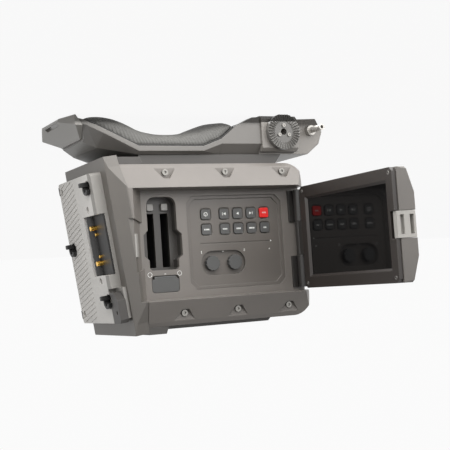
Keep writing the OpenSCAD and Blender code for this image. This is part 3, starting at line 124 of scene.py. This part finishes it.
# one material: base colour broken up by a large soft noise, a fine grain in the bump,
# and a lighter worn colour where the rounded normal departs from the true one, which is at edges
def finishMaterial(name, own):
    look = {**plainFinish, **own}
    material = bpy.data.materials.new(name)
    material.use_nodes = True
    tree = material.node_tree
    tree.nodes.clear()
    output = addNode(tree, "ShaderNodeOutputMaterial")
    shader = addNode(tree, "ShaderNodeBsdfPrincipled")
    joinNodes(tree, shader.outputs["BSDF"], output.inputs["Surface"])
    place = addNode(tree, "ShaderNodeTexCoord").outputs["Object"]

    patches = noiseNode(tree, place, look["patchScale"], look["patchDetail"])
    strength = mapRange(tree, patches, look["patchRange"], (1 - look["patch"], 1 + look["patch"]))
    tinted = addNode(tree, "ShaderNodeVectorMath", operation="SCALE")
    tinted.inputs[0].default_value = look["colour"][:3]
    joinNodes(tree, strength, tinted.inputs["Scale"])
    colour = tinted.outputs["Vector"]

    rounded = addNode(tree, "ShaderNodeBevel", samples=look["edgeSamples"])
    rounded.inputs["Radius"].default_value = look["edgeRadius"] * mm
    if "worn" in look:
        trueNormal = addNode(tree, "ShaderNodeNewGeometry").outputs["True Normal"]
        match = addNode(tree, "ShaderNodeVectorMath", operation="DOT_PRODUCT")
        joinNodes(tree, rounded.outputs["Normal"], match.inputs[0])
        joinNodes(tree, trueNormal, match.inputs[1])
        edge = mapRange(tree, match.outputs["Value"], look["edgeRange"], (0, look["wear"]))
        rub = noiseNode(tree, place, look["rubScale"], look["rubDetail"])
        share = mathNode(tree, "MULTIPLY", edge, rub)
        colour = mixColours(tree, share, colour, look["worn"])
    if "split" in look:
        # a second tone past a line: its direction, where it starts and ends in metres, and the tone
        way, start, end, tone = look["split"]
        colour = mixColours(tree, mapRange(tree, alongWay(tree, place, way), (start, end)), colour, tone)
    joinNodes(tree, colour, shader.inputs["Base Color"])

    height = noiseNode(tree, place, look["grainScale"], look["grainDetail"])
    if "ribPitch" in look:
        # height of the ribs: a sine of the distance along a slanting direction
        turn = 2 * math.pi / (look["ribPitch"] * mm)
        turns = mathNode(tree, "MULTIPLY", alongWay(tree, place, look["ribWay"]), turn)
        height = mathNode(tree, "MULTIPLY_ADD", mathNode(tree, "SINE", turns), look["ribShare"], height)
    bump = addNode(tree, "ShaderNodeBump", Strength=look["bump"])
    bump.inputs["Distance"].default_value = look["bumpDepth"] * mm
    joinNodes(tree, height, bump.inputs["Height"])
    joinNodes(tree, rounded.outputs["Normal"], bump.inputs["Normal"])
    joinNodes(tree, bump.outputs["Normal"], shader.inputs["Normal"])

    rough, spread = look["rough"], look["roughSpread"]
    sheen = mapRange(tree, patches, (0, 1), (rough - spread, rough + spread))
    joinNodes(tree, sheen, shader.inputs["Roughness"])
    shader.inputs["Metallic"].default_value = look["metal"]
    shader.inputs["Specular IOR Level"].default_value = look["gloss"]
    shader.inputs["Coat Weight"].default_value = look["coat"]
    shader.inputs["Transmission Weight"].default_value = look["clear"]
    return material


def dress(material, *names):
    for name in names:
        mesh = nodes[name].data
        if not mesh.materials:
            mesh.materials.append(material)
        for i in range(len(mesh.materials)):
            mesh.materials[i] = material


# finishes: colour is the paint, and in the card bay's finish the paint darkened as painted shade for its recess;
# worn what shows at rubbed edges and wear its share, rough the roughness, grainScale and bumpDepth the cast
# texture, and edgeRadius the softness of the edges in mm
looks = {
    "sideMetal": {"colour": paint(112, 107, 102), "worn": paint(150, 146, 140), "rough": 0.42,
        "grainScale": 1500, "bump": 0.25, "edgeRadius": 0.6, "wear": 0.5},
    "rearMetal": {"colour": paint(98, 94, 89), "worn": paint(138, 134, 128), "rough": 0.42,
        "grainScale": 1500, "edgeRadius": 0.6, "wear": 0.5},
    "darkMetal": {"colour": paint(62, 59, 56), "worn": paint(110, 106, 100), "rough": 0.45,
        "grainScale": 1700, "edgeRadius": 0.5, "wear": 0.5},
    "baseMetal": {"colour": paint(120, 116, 111), "worn": paint(150, 146, 140), "rough": 0.38,
        "grainScale": 1500, "edgeRadius": 0.8, "wear": 0.6},
    "trayMetal": {"colour": paint(104, 101, 97), "worn": paint(165, 162, 156), "rough": 0.36,
        "grainScale": 1500, "edgeRadius": 1.0, "wear": 0.5},
    "tailMetal": {"colour": paint(150, 147, 142), "worn": paint(165, 162, 156), "rough": 0.36,
        "grainScale": 1500, "edgeRadius": 1.0, "wear": 0.5},
    "rosetteMetal": {"colour": paint(86, 84, 81), "worn": paint(170, 168, 162), "rough": 0.35,
        "edgeRadius": 0.25, "wear": 0.9},
    "plateMetal": {"colour": paint(228, 225, 220), "worn": paint(205, 202, 196), "rough": 0.5,
        "grainScale": 2200, "edgeRadius": 0.4, "wear": 0.4,
        "split": ((1, 0, 0), 0.0295, 0.0310, paint(150, 147, 142))},
    "mountSteel": {"colour": paint(185, 185, 186), "rough": 0.25, "metal": 1.0, "bump": 0.1, "edgeRadius": 0.3},
    "screwSteel": {"colour": paint(120, 118, 114), "worn": paint(200, 198, 194), "rough": 0.3, "metal": 0.9,
        "edgeRadius": 0.25, "wear": 0.9},
    "socketMetal": {"colour": paint(190, 188, 184), "rough": 0.22, "metal": 1.0, "bump": 0.08, "edgeRadius": 0.2},
    "clampMetal": {"colour": paint(168, 165, 160), "rough": 0.4, "metal": 0.6, "bump": 0.1, "edgeRadius": 0.3},
    "sinkMetal": {"colour": paint(150, 150, 152), "rough": 0.4, "metal": 1.0, "edgeRadius": 0.1},
    "blackPlastic": {"colour": paint(24, 23, 22), "worn": paint(70, 68, 66), "rough": 0.5, "grainScale": 1400,
        "edgeRadius": 0.3, "wear": 0.4},
    "panelMetal": {"colour": paint(98, 93, 88), "worn": paint(130, 126, 120), "rough": 0.36,
        "grainScale": 1800, "edgeRadius": 0.7, "wear": 0.5},
    # the card bay's metal: its colour is painted shade, darkened to stand in for the shade that falls in the bay's
    # recess
    "bayShadedMetal": {"colour": paint(62, 59, 56), "worn": paint(130, 126, 120), "rough": 0.42, "edgeRadius": 0.6,
        "wear": 0.4},
    "keyPlastic": {"colour": paint(76, 76, 75), "worn": paint(96, 96, 94), "rough": 0.5, "grainScale": 1300,
        "edgeRadius": 0.6, "wear": 0.3},
    "hingeMetal": {"colour": paint(44, 42, 40), "worn": paint(96, 92, 88), "rough": 0.4, "grainScale": 1600,
        "edgeRadius": 0.5, "wear": 0.6},
    "paleButton": {"colour": paint(158, 156, 152), "worn": paint(196, 194, 190), "rough": 0.45,
        "grainScale": 1300, "edgeRadius": 0.5, "wear": 0.4},
    "redPlastic": {"colour": paint(226, 34, 30), "worn": paint(240, 90, 80), "rough": 0.4, "grainScale": 1300,
        "edgeRadius": 0.6, "wear": 0.3},
    "bezelPlastic": {"colour": paint(38, 33, 30), "worn": paint(92, 86, 80), "rough": 0.42,
        "grainScale": 1500, "edgeRadius": 0.6, "wear": 0.5},
    "shellMetal": {"colour": paint(92, 88, 84), "worn": paint(140, 136, 130), "rough": 0.42,
        "edgeRadius": 0.8, "wear": 0.5},
    "latchMetal": {"colour": paint(150, 147, 142), "worn": paint(196, 193, 188), "rough": 0.34,
        "edgeRadius": 0.4, "wear": 0.6},
    "screenGlass": {"colour": paint(7, 7, 8), "rough": 0.06, "roughSpread": 0.02, "bump": 0.0, "gloss": 0.6,
        "patch": 0.0, "edgeRadius": 0.2},
    "filterGlass": {"colour": paint(150, 205, 205), "rough": 0.06, "roughSpread": 0.02, "bump": 0.0,
        "clear": 0.7, "edgeRadius": 0.1},
    "board": {"colour": paint(24, 84, 48), "rough": 0.4, "grainScale": 900, "edgeRadius": 0.1},
    "gold": {"colour": paint(250, 200, 96), "rough": 0.22, "metal": 1.0, "bump": 0.05, "edgeRadius": 0.3},
    "padRubber": {"colour": paint(102, 101, 98), "rough": 0.6, "grainScale": 700, "bump": 0.6,
        "bumpDepth": 0.35, "ribPitch": 2.1, "ribWay": (0.55, 0.75, 0.36), "ribShare": 0.9, "edgeRadius": 0.3},
    "seamRubber": {"colour": paint(28, 27, 26), "rough": 0.55, "grainScale": 900, "edgeRadius": 0.2},
    "whiteInk": {"colour": paint(232, 232, 228), "rough": 0.55, "grainScale": 1200, "bump": 0.1,
        "edgeRadius": 0.02},
}
made = {name: finishMaterial(name, look) for name, look in looks.items()}
dress(made["sideMetal"], "left_frame", "right_cover", "front_casting")
dress(made["rearMetal"], "rear_casting")
dress(made["darkMetal"], "chassis", "top_plate", "bottom_plate", "battery_lever")
dress(made["hingeMetal"], "hinge_leaves", "hinge_block")
dress(made["paleButton"], "card_eject_a", "card_eject_b")
dress(made["baseMetal"], "front_block", "rod_block")
dress(made["trayMetal"], "shoulder_tray")
dress(made["tailMetal"], "tail_cap")
dress(made["rosetteMetal"], "rosettes")
dress(made["plateMetal"], "battery_plate")
dress(made["mountSteel"], "lens_mount", "hinge_pin", "usb_socket")
dress(made["screwSteel"], "cover_screws", "rosette_screws")
dress(made["socketMetal"], "signal_sockets")
dress(made["clampMetal"], "clamp_screw")
dress(made["sinkMetal"], "heatsink")
dress(made["blackPlastic"], "lens_release", "sensor_housing", "fan_housing", "fan", "contact_block", "slot_clips",
      "audio_sockets", "card_sockets")
dress(made["panelMetal"], "control_panel")
# the whole card bay takes the darkened colour, painted shade for its recess
dress(made["bayShadedMetal"], "card_bay")
dress(made["keyPlastic"], "key_power", "key_previous", "key_play", "key_next", "key_iris", "key_focus",
      "key_display", "key_slot", "key_menu", "dial_left", "dial_right", "usb_cover")
dress(made["redPlastic"], "key_record")
dress(made["bezelPlastic"], "monitor_front")
dress(made["shellMetal"], "monitor_back")
dress(made["latchMetal"], "monitor_latch", "latch_catch")
dress(made["screenGlass"], "monitor_screen")
dress(made["filterGlass"], "sensor_filter")
dress(made["board"], "sensor_board", "main_board", "control_board")
dress(made["gold"], "contact_pins")
print("materials:", len(made))


def newPiece(name, points, faces, material, body):
    mesh = bpy.data.meshes.new(name)
    mesh.from_pydata((np.asarray(points, float) * mm).tolist(), [], faces)
    mesh.validate()
    mesh.update()
    mesh.materials.append(material)
    piece = bpy.data.objects.new(name, mesh)
    bpy.context.scene.collection.objects.link(piece)
    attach(piece, body)
    return piece


# a closed solid from a stack of rings, an array of rings by points by three: each ring is joined to the next,
# the first is closed facing back and the last facing on
def stackRings(name, rings, material, body):
    levels, count = rings.shape[:2]
    index = np.arange(levels * count).reshape(levels, count)
    after = np.roll(index, -1, 1)
    faces = np.stack([index[:-1], after[:-1], after[1:], index[1:]], -1).reshape(-1, 4).tolist()
    faces += [index[0, ::-1].tolist(), index[-1].tolist()]
    return newPiece(name, rings.reshape(-1, 3), faces, material, body)


def applyModifier(piece, name):
    bpy.context.view_layer.objects.active = piece
    bpy.ops.object.select_all(action="DESELECT")
    piece.select_set(True)
    bpy.ops.object.modifier_apply(modifier=name)


# shoulder pad, all in millimetres
pad = {
    "lowLine": [(44.4, 9), (48.2, 4.7), (59.2, 4.8), (92.5, 17), (126.2, 16.8), (148, 6), (166, 0), (180.6, 0),
                (185.6, 3.2)],
    "seamLine": [(44.4, 9), (59.4, 20.5), (77.4, 27), (137.2, 26.7), (168, 12.1), (181.3, 5.2), (185.6, 3.2)],
    "halfWidth": 46.5,
    "crown": 3.0,
    "crownLine": ((44.4, 52, 100), (0, 1, 0)),   # where along Y the crown starts, is full and ends
    "edgeShare": 0.84,
    "edgePower": 8,
    "start": 0.5,        # how much smaller it starts, so that it can swell
    "grid": (49, 141),
    "crowd": 0.75,       # below 1 the points across crowd at the edges
    "topGap": 0.15,
    "leastDepth": 0.2,
    "voxel": 4.0,
    "pressure": 4, "tension": 20, "bending": 2, "steps": 20,
    "cap": 1.2,          # the furthest that a point may move
    "seamHold": (0.5, 3.5),   # held at this distance from the seam, and free from there on
    "floorHold": 2.0,    # below this height it moves down less and less
}


# a line of points cut at its corners twice: each pair gives its quarter and three-quarter points
def softLine(points):
    p = np.array(points, float)
    for _ in range(2):
        cut = np.stack([p[:-1] * 0.75 + p[1:] * 0.25, p[:-1] * 0.25 + p[1:] * 0.75], 1).reshape(-1, 2)
        p = np.vstack([p[:1], cut, p[-1:]])
    return p


# underside of the pad, with t from -1 to 1 across it: seam height, less depth times fullness,
# which is 1 - (1 - edgeShare) t^edgePower, less crown (1 - t^2) along crownLine
def padLow(y, t, shape):
    low = softLine(shape["lowLine"])
    seam = np.array(shape["seamLine"], float)
    top = np.interp(y, seam[:, 0], seam[:, 1])
    depth = top - np.interp(y, low[:, 0], low[:, 1])
    full = 1 - (1 - shape["edgeShare"]) * np.abs(t) ** shape["edgePower"]
    crown = shape["crown"] * np.interp(y, *shape["crownLine"]) * (1 - t ** 2)
    return top - depth * full - crown


# the pad as a closed skin: a grid for its underside, one for its top, and a wall round their edges
def makePad(shape):
    acrossCount, alongCount = shape["grid"]
    t = np.linspace(-1, 1, acrossCount)
    x = np.sign(t) * np.abs(t) ** shape["crowd"] * (shape["halfWidth"] - shape["start"])
    seam = np.array(shape["seamLine"], float)
    y = np.linspace(seam[0, 0] + shape["start"], seam[-1, 0] - shape["start"], alongCount)
    grid = np.meshgrid(t, y, indexing="ij")
    top = np.interp(grid[1], seam[:, 0], seam[:, 1]) - shape["topGap"]
    low = np.minimum(padLow(grid[1], grid[0], shape), top - shape["leastDepth"])
    xs = np.repeat(x[:, None], alongCount, 1)
    lower = np.stack([xs, grid[1], low], -1).reshape(-1, 3)
    upper = np.stack([xs, grid[1], top], -1).reshape(-1, 3)
    count = acrossCount * alongCount
    index = np.arange(count).reshape(acrossCount, alongCount)
    a, b, c, d = index[:-1, :-1], index[1:, :-1], index[1:, 1:], index[:-1, 1:]
    under = np.stack([a, d, c, b], -1).reshape(-1, 4)
    over = np.stack([a, b, c, d], -1).reshape(-1, 4) + count
    walls = [np.stack([line[:-1], line[1:], line[1:] + count, line[:-1] + count], -1)
             for line in (index[0, ::-1], index[:, 0], index[-1, :], index[::-1, -1])]
    faces = np.vstack([under, over] + walls)
    return newPiece("shoulderPadSkin", np.vstack([lower, upper]), faces.tolist(), made["padRubber"], "camera")


def pointsOf(piece):
    points = np.zeros(len(piece.data.vertices) * 3)
    piece.data.vertices.foreach_get("co", points)
    return points.reshape(-1, 3)


# swells a piece like a stuffed one: remeshed, blown up with cloth pressure, then held within the cap
# and kept at its seam
def swell(piece, shape):
    remesh = piece.modifiers.new("remesh", "REMESH")
    remesh.mode = "VOXEL"
    remesh.voxel_size = shape["voxel"] * mm
    applyModifier(piece, "remesh")
    start = pointsOf(piece)
    cloth = piece.modifiers.new("cloth", "CLOTH")
    cloth.settings.use_pressure = True
    cloth.settings.uniform_pressure_force = shape["pressure"]
    cloth.settings.effector_weights.gravity = 0
    cloth.settings.tension_stiffness = shape["tension"]
    cloth.settings.bending_stiffness = shape["bending"]
    for step in range(1, shape["steps"] + 1):
        bpy.context.scene.frame_set(step)
    applyModifier(piece, "cloth")
    bpy.context.scene.frame_set(1)
    move = pointsOf(piece) - start
    far = np.linalg.norm(move, axis=1, keepdims=True)
    move *= np.minimum(1, shape["cap"] * mm / np.maximum(far, 1e-9))
    seam = np.array(shape["seamLine"], float) * mm
    gap = np.interp(start[:, 1], seam[:, 0], seam[:, 1]) - start[:, 2]
    held, loose = shape["seamHold"]
    free = np.clip((gap - held * mm) / ((loose - held) * mm), 0, 1)[:, None]
    low = np.clip(start[:, 2:3] / (shape["floorHold"] * mm), 0, 1)
    move[:, 2:3] *= np.where(move[:, 2:3] < 0, low, 1)
    piece.data.vertices.foreach_set("co", (start + move * free).ravel())
    piece.data.update()
    smooth = piece.modifiers.new("smooth", "SUBSURF")
    smooth.levels = 1
    smooth.render_levels = 1
    for face in piece.data.polygons:
        face.use_smooth = True


padSkin = makePad(pad)
swell(padSkin, pad)
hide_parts("shoulder_pad")
print("shoulder pad:", len(padSkin.data.vertices), "points")


# a round section carried along a path: each ring stands square to the path, at the path's point plus
# r (cos a, sin a) along its side and rise; the side is square to X, or to Z where the path runs along X
def tube(name, path, radius, material, body, sides=10):
    p = np.asarray(path, float)
    way = np.gradient(p, axis=0)
    way /= np.linalg.norm(way, axis=1, keepdims=True)
    side = np.cross(way, np.where(np.abs(way[:, :1]) < 0.9, [[1.0, 0, 0]], [[0, 0, 1.0]]))
    side /= np.linalg.norm(side, axis=1, keepdims=True)
    rise = np.cross(way, side)
    a = np.linspace(0, 2 * np.pi, sides, endpoint=False)[None, :, None]
    rings = p[:, None] + radius * (np.cos(a) * side[:, None] + np.sin(a) * rise[:, None])
    piece = stackRings(name, rings, material, body)
    for face in piece.data.polygons:
        face.use_smooth = len(face.vertices) == 4


# dark seam strip where the pad meets the tray
seamStrip = {"radius": 0.9, "x": 46.4, "drop": 0.5, "ends": (47, 181), "points": 90}
seamPoints = np.array(pad["seamLine"], float)
seamY = np.linspace(*seamStrip["ends"], seamStrip["points"])
seamZ = np.interp(seamY, seamPoints[:, 0], seamPoints[:, 1]) - seamStrip["drop"]
for side, sideName in ((1, "Left"), (-1, "Right")):
    line = np.stack([np.full(len(seamY), side * seamStrip["x"]), seamY, seamZ], -1)
    tube("padSeam" + sideName, line, seamStrip["radius"], made["seamRubber"], "camera")

# printed marks: flat shapes in millimetres, right is +Y and up is +Z as the operator sees them;
# keyX, panelX and floorX are the X of the faces that carry them
ink = {"thickness": 0.05, "keyX": 42.52, "panelX": 42.02, "floorX": 44.02}


def arcPoints(radius, start, end, steps=16):
    a = np.radians(np.linspace(start, end, steps))
    return np.stack([np.cos(a), np.sin(a)], -1) * radius


# a ring or arc of a given width between two angles, as one four-cornered piece for each step
def arcShape(radius, width, start, end, steps=24):
    outer = arcPoints(radius + width / 2, start, end, steps)
    inner = arcPoints(radius - width / 2, start, end, steps)
    return list(np.stack([outer[:-1], outer[1:], inner[1:], inner[:-1]], 1))


def barShape(y, z, w, h):
    return np.array([(-w, -h), (w, -h), (w, h), (-w, h)]) / 2 + (y, z)


# twice the area that an outline holds, above zero where it runs anticlockwise
def turnOf(shape):
    after = np.roll(shape, -1, 0)
    return float(np.sum(shape[:, 0] * after[:, 1] - after[:, 0] * shape[:, 1]))


def printMark(name, shapes, at, x, body, material="whiteInk"):
    shapes = [shape if turnOf(shape) > 0 else shape[::-1] for shape in shapes]
    flat = np.vstack(shapes) + at
    starts = np.cumsum([0] + [len(shape) for shape in shapes])
    faces = [list(range(a, b)) for a, b in zip(starts[:-1].tolist(), starts[1:].tolist())]
    piece = newPiece(name, np.column_stack([np.full(len(flat), x), flat]), faces, made[material], body)
    thick = piece.modifiers.new("thick", "SOLIDIFY")
    thick.thickness = ink["thickness"] * mm
    thick.offset = 1


triangle = np.array([(-1.1, -1.3), (1.3, 0), (-1.1, 1.3)])
keyMarks = {
    "power": arcShape(1.6, 0.55, 125, 415) + [barShape(0, 1.1, 0.55, 2.0)],
    "previous": [-triangle + (0.5, 0), barShape(-1.55, 0, 0.5, 2.6)],
    "play": [triangle],
    "next": [triangle - (0.5, 0), barShape(1.55, 0, 0.5, 2.6)],
    "record": [barShape(-1.2, 0, 0.75, 1.2), barShape(0, 0.35, 0.75, 0.5), barShape(0, -0.35, 0.75, 0.5),
               barShape(1.2, 0, 0.75, 1.2)],
    "iris": [barShape(y, 0, 0.9, 1.25) for y in (-2.1, -0.9, 0.5, 1.9)],
    "focus": [barShape(y, 0, 0.8, 1.25) for y in (-1.7, -0.5, 0.6, 1.7)],
    "display": [barShape(y, 0, 0.85, 1.25) for y in (-1.7, -0.6, 0.5, 1.6)],
    "slot": [barShape(y, 0, 0.9, 1.25) for y in (-2.2, -1.1, 0.2, 1.1, 2.1)],
    "menu": [barShape(y, 0, 0.7, 1.25) for y in (-1.0, 0, 1.0)],
}
for name, shapes in keyMarks.items():
    low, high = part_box("key_" + name)
    centre = ((low[1] + high[1]) / 2 / mm, (low[2] + high[2]) / 2 / mm)
    printMark("mark_" + name, shapes, centre, ink["keyX"], "key_" + name + "_body")
# marks on the panel: the numbers of the two dials, a bar between them and two dots by the hinge,
# and on the recess floor two rings with a bar between them; each place is its Y and Z in millimetres
figureOne = [barShape(0, 0, 0.35, 1.9), barShape(-0.3, 0.65, 0.4, 0.3), barShape(0, -0.95, 1.0, 0.3)]
figureTwo = [barShape(0, 0.85, 1.1, 0.32), barShape(0.45, 0.45, 0.34, 0.7), barShape(0, 0, 1.1, 0.32),
             barShape(-0.45, -0.45, 0.34, 0.7), barShape(0, -0.9, 1.1, 0.32)]
dot = arcShape(0.3, 0.6, 0, 360, 13)
wheel = arcShape(1.9, 0.35, 0, 360, 33)
panelMarks = {
    "figureOne": (figureOne, (83.3, 118.2), "panelX"),
    "figureTwo": (figureTwo, (41.6, 117.8), "panelX"),
    "levelBar": ([barShape(0, 0, 1.6, 0.4)], (62.6, 118.1), "panelX"),
    "dotHigh": (dot, (14.5, 110.7), "panelX"),
    "dotLow": (dot, (16.4, 117.8), "panelX"),
    "ringRear": (wheel, (133.0, 134.8), "floorX"),
    "ringFront": (wheel, (105.9, 134.7), "floorX"),
    "ringBar": ([barShape(0, 0, 1.8, 0.5)], (119.1, 134.8), "floorX"),
}
for name, (shapes, place, plane) in panelMarks.items():
    printMark("mark_" + name, shapes, place, ink[plane], "camera")
print("marks printed:", len(keyMarks) + len(panelMarks))

# parts on the battery plate, in the plate's own frame: across is X, up runs up its slanted face, and out is
# away from it; y and z are where that frame starts, tilt its lean, and slots the places of the key slots
plate = {"y": 170.3, "z": 36.3, "tilt": 7.5, "slots": ((27, 22.14), (28, 118.14), (-36, 70.64))}


# a point of the plate's frame in the object's frame; across and up may be arrays
def onPlate(across, up, out):
    a = math.radians(plate["tilt"])
    y = plate["y"] + out * math.cos(a) - up * math.sin(a)
    z = plate["z"] + up * math.cos(a) + out * math.sin(a)
    return np.stack([across, y, z], -1)


# a solid that stands out of the plate: an outline in across and up, and for each ring how far out it lies
# and its size about the outline's middle
def standOut(name, outline, rings, material):
    shape = outline[::-1] if turnOf(outline) > 0 else outline
    middle = shape.mean(0)
    stack = [onPlate(*(middle + (shape - middle) * share).T, out) for out, share in rings]
    stackRings(name, np.array(stack), material, "camera")


# hooks at the key slots: a hollow half ring and a prong beside it; out is counted from the plate's foot
hook = {"foot": 7.0, "ring": 4.6, "width": 2.4, "arc": (20, 200), "ringOut": 12.6, "ringBevel": 0.5,
        "ringEnd": 0.96, "prong": (4.2, 3.8), "prongAt": (-4.0, -3.4), "prongOut": 15.2,
        "prongBevel": 0.8, "prongEnd": 0.75}
start, end = hook["arc"]
for number, (across, up) in enumerate(plate["slots"]):
    ring = np.vstack([arcPoints(hook["ring"] + hook["width"] / 2, start, end),
                      arcPoints(hook["ring"] - hook["width"] / 2, end, start)])
    rings = [(hook["foot"], 1.0), (hook["ringOut"] - hook["ringBevel"], 1.0), (hook["ringOut"], hook["ringEnd"])]
    standOut("hookRing%d" % number, ring + (across, up), rings, made["blackPlastic"])
    prong = barShape(across + hook["prongAt"][0], up + hook["prongAt"][1], *hook["prong"])
    rings = [(hook["foot"], 1.0), (hook["prongOut"] - hook["prongBevel"], 1.0),
             (hook["prongOut"], hook["prongEnd"])]
    standOut("hookProng%d" % number, prong, rings, made["blackPlastic"])

bumper = {"up": (17.0, 129.0), "inset": 0.3, "size": (1.6, 8.0), "rings": [(2.0, 1.0), (9.2, 1.0), (9.8, 0.85)]}
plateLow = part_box("battery_plate")[0][0] / mm
for number, up in enumerate(bumper["up"]):
    outline = barShape(plateLow + bumper["inset"], up, *bumper["size"])
    standOut("plateBumper%d" % number, outline, bumper["rings"], made["blackPlastic"])
print("parts on the battery plate:", 2 * len(plate["slots"]) + len(bumper["up"]))


# a turned head with a hollow, as rings of radius and height along Y: each is r cos a, height, -r sin a
def turnedHead(name, profile, place, material, body, sides=24):
    a = np.linspace(0, 2 * np.pi, sides, endpoint=False)
    radius, height = np.array(profile).T[:, :, None]
    rings = np.stack([radius * np.cos(a), height + 0 * a, -radius * np.sin(a)], -1) + place
    stackRings(name, rings, material, body)


# screws at the corners of the monitor's rim
cornerScrew = {"inset": 4.2, "profile": ((1.5, -0.4), (1.5, 0.12), (1.3, 0.25), (0.75, 0.25), (0.7, -0.15))}
rimLow, rimHigh = (Vector(c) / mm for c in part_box("monitor_front"))
inset = cornerScrew["inset"]
corners = [(x, z) for x in (rimLow[0] + inset, rimHigh[0] - inset) for z in (rimLow[2] + inset, rimHigh[2] - inset)]
for number, (x, z) in enumerate(corners):
    turnedHead("rimScrew%d" % number, cornerScrew["profile"], (x, rimHigh[1], z), made["screwSteel"],
               "monitor_body")
print("screws on the monitor:", len(corners))

# floor: size and drop in metres, and glow the share of white where it is seen directly
floorLook = {"size": 6.0, "rough": 0.8, "colour": (0.86, 0.855, 0.85, 1), "glow": 0.92, "drop": 0.0002}


# 1 for what the camera sees directly, in a gloss or through glass, and 0 for all other light
def seenDirectly(tree):
    path = addNode(tree, "ShaderNodeLightPath").outputs
    most = mathNode(tree, "MAXIMUM", path["Is Camera Ray"], path["Is Glossy Ray"])
    return mathNode(tree, "MAXIMUM", most, path["Is Transmission Ray"])


def makeFloor(look):
    half = look["size"] / 2
    corners = [(x * half, y * half, -look["drop"]) for x, y in ((-1, -1), (1, -1), (1, 1), (-1, 1))]
    mesh = bpy.data.meshes.new("floor")
    mesh.from_pydata(corners, [], [(0, 1, 2, 3)])
    floor = bpy.data.objects.new("floor", mesh)
    bpy.context.scene.collection.objects.link(floor)
    material = bpy.data.materials.new("paleFloor")
    material.use_nodes = True
    tree = material.node_tree
    tree.nodes.clear()
    output = addNode(tree, "ShaderNodeOutputMaterial")
    shader = addNode(tree, "ShaderNodeBsdfPrincipled")
    shader.inputs["Base Color"].default_value = look["colour"]
    shader.inputs["Roughness"].default_value = look["rough"]
    glow = addNode(tree, "ShaderNodeEmission")
    mix = addNode(tree, "ShaderNodeMixShader")
    joinNodes(tree, mathNode(tree, "MULTIPLY", seenDirectly(tree), look["glow"]), mix.inputs["Fac"])
    joinNodes(tree, shader.outputs["BSDF"], mix.inputs[1])
    joinNodes(tree, glow.outputs["Emission"], mix.inputs[2])
    joinNodes(tree, mix.outputs["Shader"], output.inputs["Surface"])
    mesh.materials.append(material)


makeFloor(floorLook)

# world: a plain grey that lights the object, and white where it is seen directly
worldLook = {"fill": 0.17, "seen": 0.96}
world = bpy.data.worlds.new("studio")
bpy.context.scene.world = world
world.use_nodes = True
tree = world.node_tree
tree.nodes.clear()
output = addNode(tree, "ShaderNodeOutputWorld")
fillLight = addNode(tree, "ShaderNodeBackground", Color=(1, 1, 1, 1), Strength=worldLook["fill"])
seenLight = addNode(tree, "ShaderNodeBackground", Color=(1, 1, 1, 1), Strength=worldLook["seen"])
mix = addNode(tree, "ShaderNodeMixShader")
joinNodes(tree, seenDirectly(tree), mix.inputs["Fac"])
joinNodes(tree, fillLight.outputs["Background"], mix.inputs[1])
joinNodes(tree, seenLight.outputs["Background"], mix.inputs[2])
joinNodes(tree, mix.outputs["Shader"], output.inputs["Surface"])

# lamps: each a soft square, with its place, what it points at and its side in metres, and its power in watts
lamps = {
    "lowKey": {"place": (0.35, 0.02, 0.006), "target": (0.35, 0.02, 1.0), "size": 0.6, "power": 3.4},
    "rearFill": {"place": (0.15, 1.25, 0.30), "target": (0.0, 0.17, 0.10), "size": 0.8, "power": 2.6},
    "topFill": {"place": (-0.4, -0.3, 1.5), "target": (0.03, 0.08, 0.08), "size": 1.2, "power": 1.2},
    "sideKey": {"place": (1.1, -0.35, 0.25), "target": (0.03, 0.05, 0.1), "size": 0.6, "power": 1.2},
}
for name, lamp in lamps.items():
    light = bpy.data.lights.new(name, "AREA")
    light.size = lamp["size"]
    light.energy = lamp["power"]
    holder = bpy.data.objects.new(name, light)
    bpy.context.scene.collection.objects.link(holder)
    holder.location = lamp["place"]
    way = Vector(lamp["target"]) - Vector(lamp["place"])
    holder.rotation_euler = way.to_track_quat("-Z", "Y").to_euler()
    holder.visible_camera = False

# camera: the photograph shows the object upside down, so the camera is rolled by its roll angle;
# place, lens and sensor in millimetres, angles in degrees
view = {"place": (828.90, 459.77, 146.33), "azimuth": 117.0, "elevation": 3.3, "roll": 176.1, "lens": 81.36,
        "sensor": 36, "nearest": 10}


def makeCamera(view):
    azimuth, elevation, roll = (math.radians(view[k]) for k in ("azimuth", "elevation", "roll"))
    flat = math.cos(elevation)
    back = Vector((math.sin(azimuth) * flat, -math.cos(azimuth) * flat, math.sin(elevation)))
    right = Vector((0, 0, 1)).cross(back).normalized()
    up = back.cross(right)
    turnedRight = right * math.cos(roll) + up * math.sin(roll)
    turnedUp = up * math.cos(roll) - right * math.sin(roll)
    data = bpy.data.cameras.new("camera")
    data.lens = view["lens"]
    data.sensor_width = view["sensor"]
    data.clip_start = view["nearest"] * mm
    camera = bpy.data.objects.new("photoCamera", data)
    bpy.context.scene.collection.objects.link(camera)
    camera.matrix_world = Matrix((
        (turnedRight[0], turnedUp[0], back[0], view["place"][0] * mm),
        (turnedRight[1], turnedUp[1], back[1], view["place"][1] * mm),
        (turnedRight[2], turnedUp[2], back[2], view["place"][2] * mm),
        (0, 0, 0, 1)))
    bpy.context.scene.camera = camera


makeCamera(view)
bpy.context.scene.view_settings.view_transform = "Standard"
print("camera and lamps set")
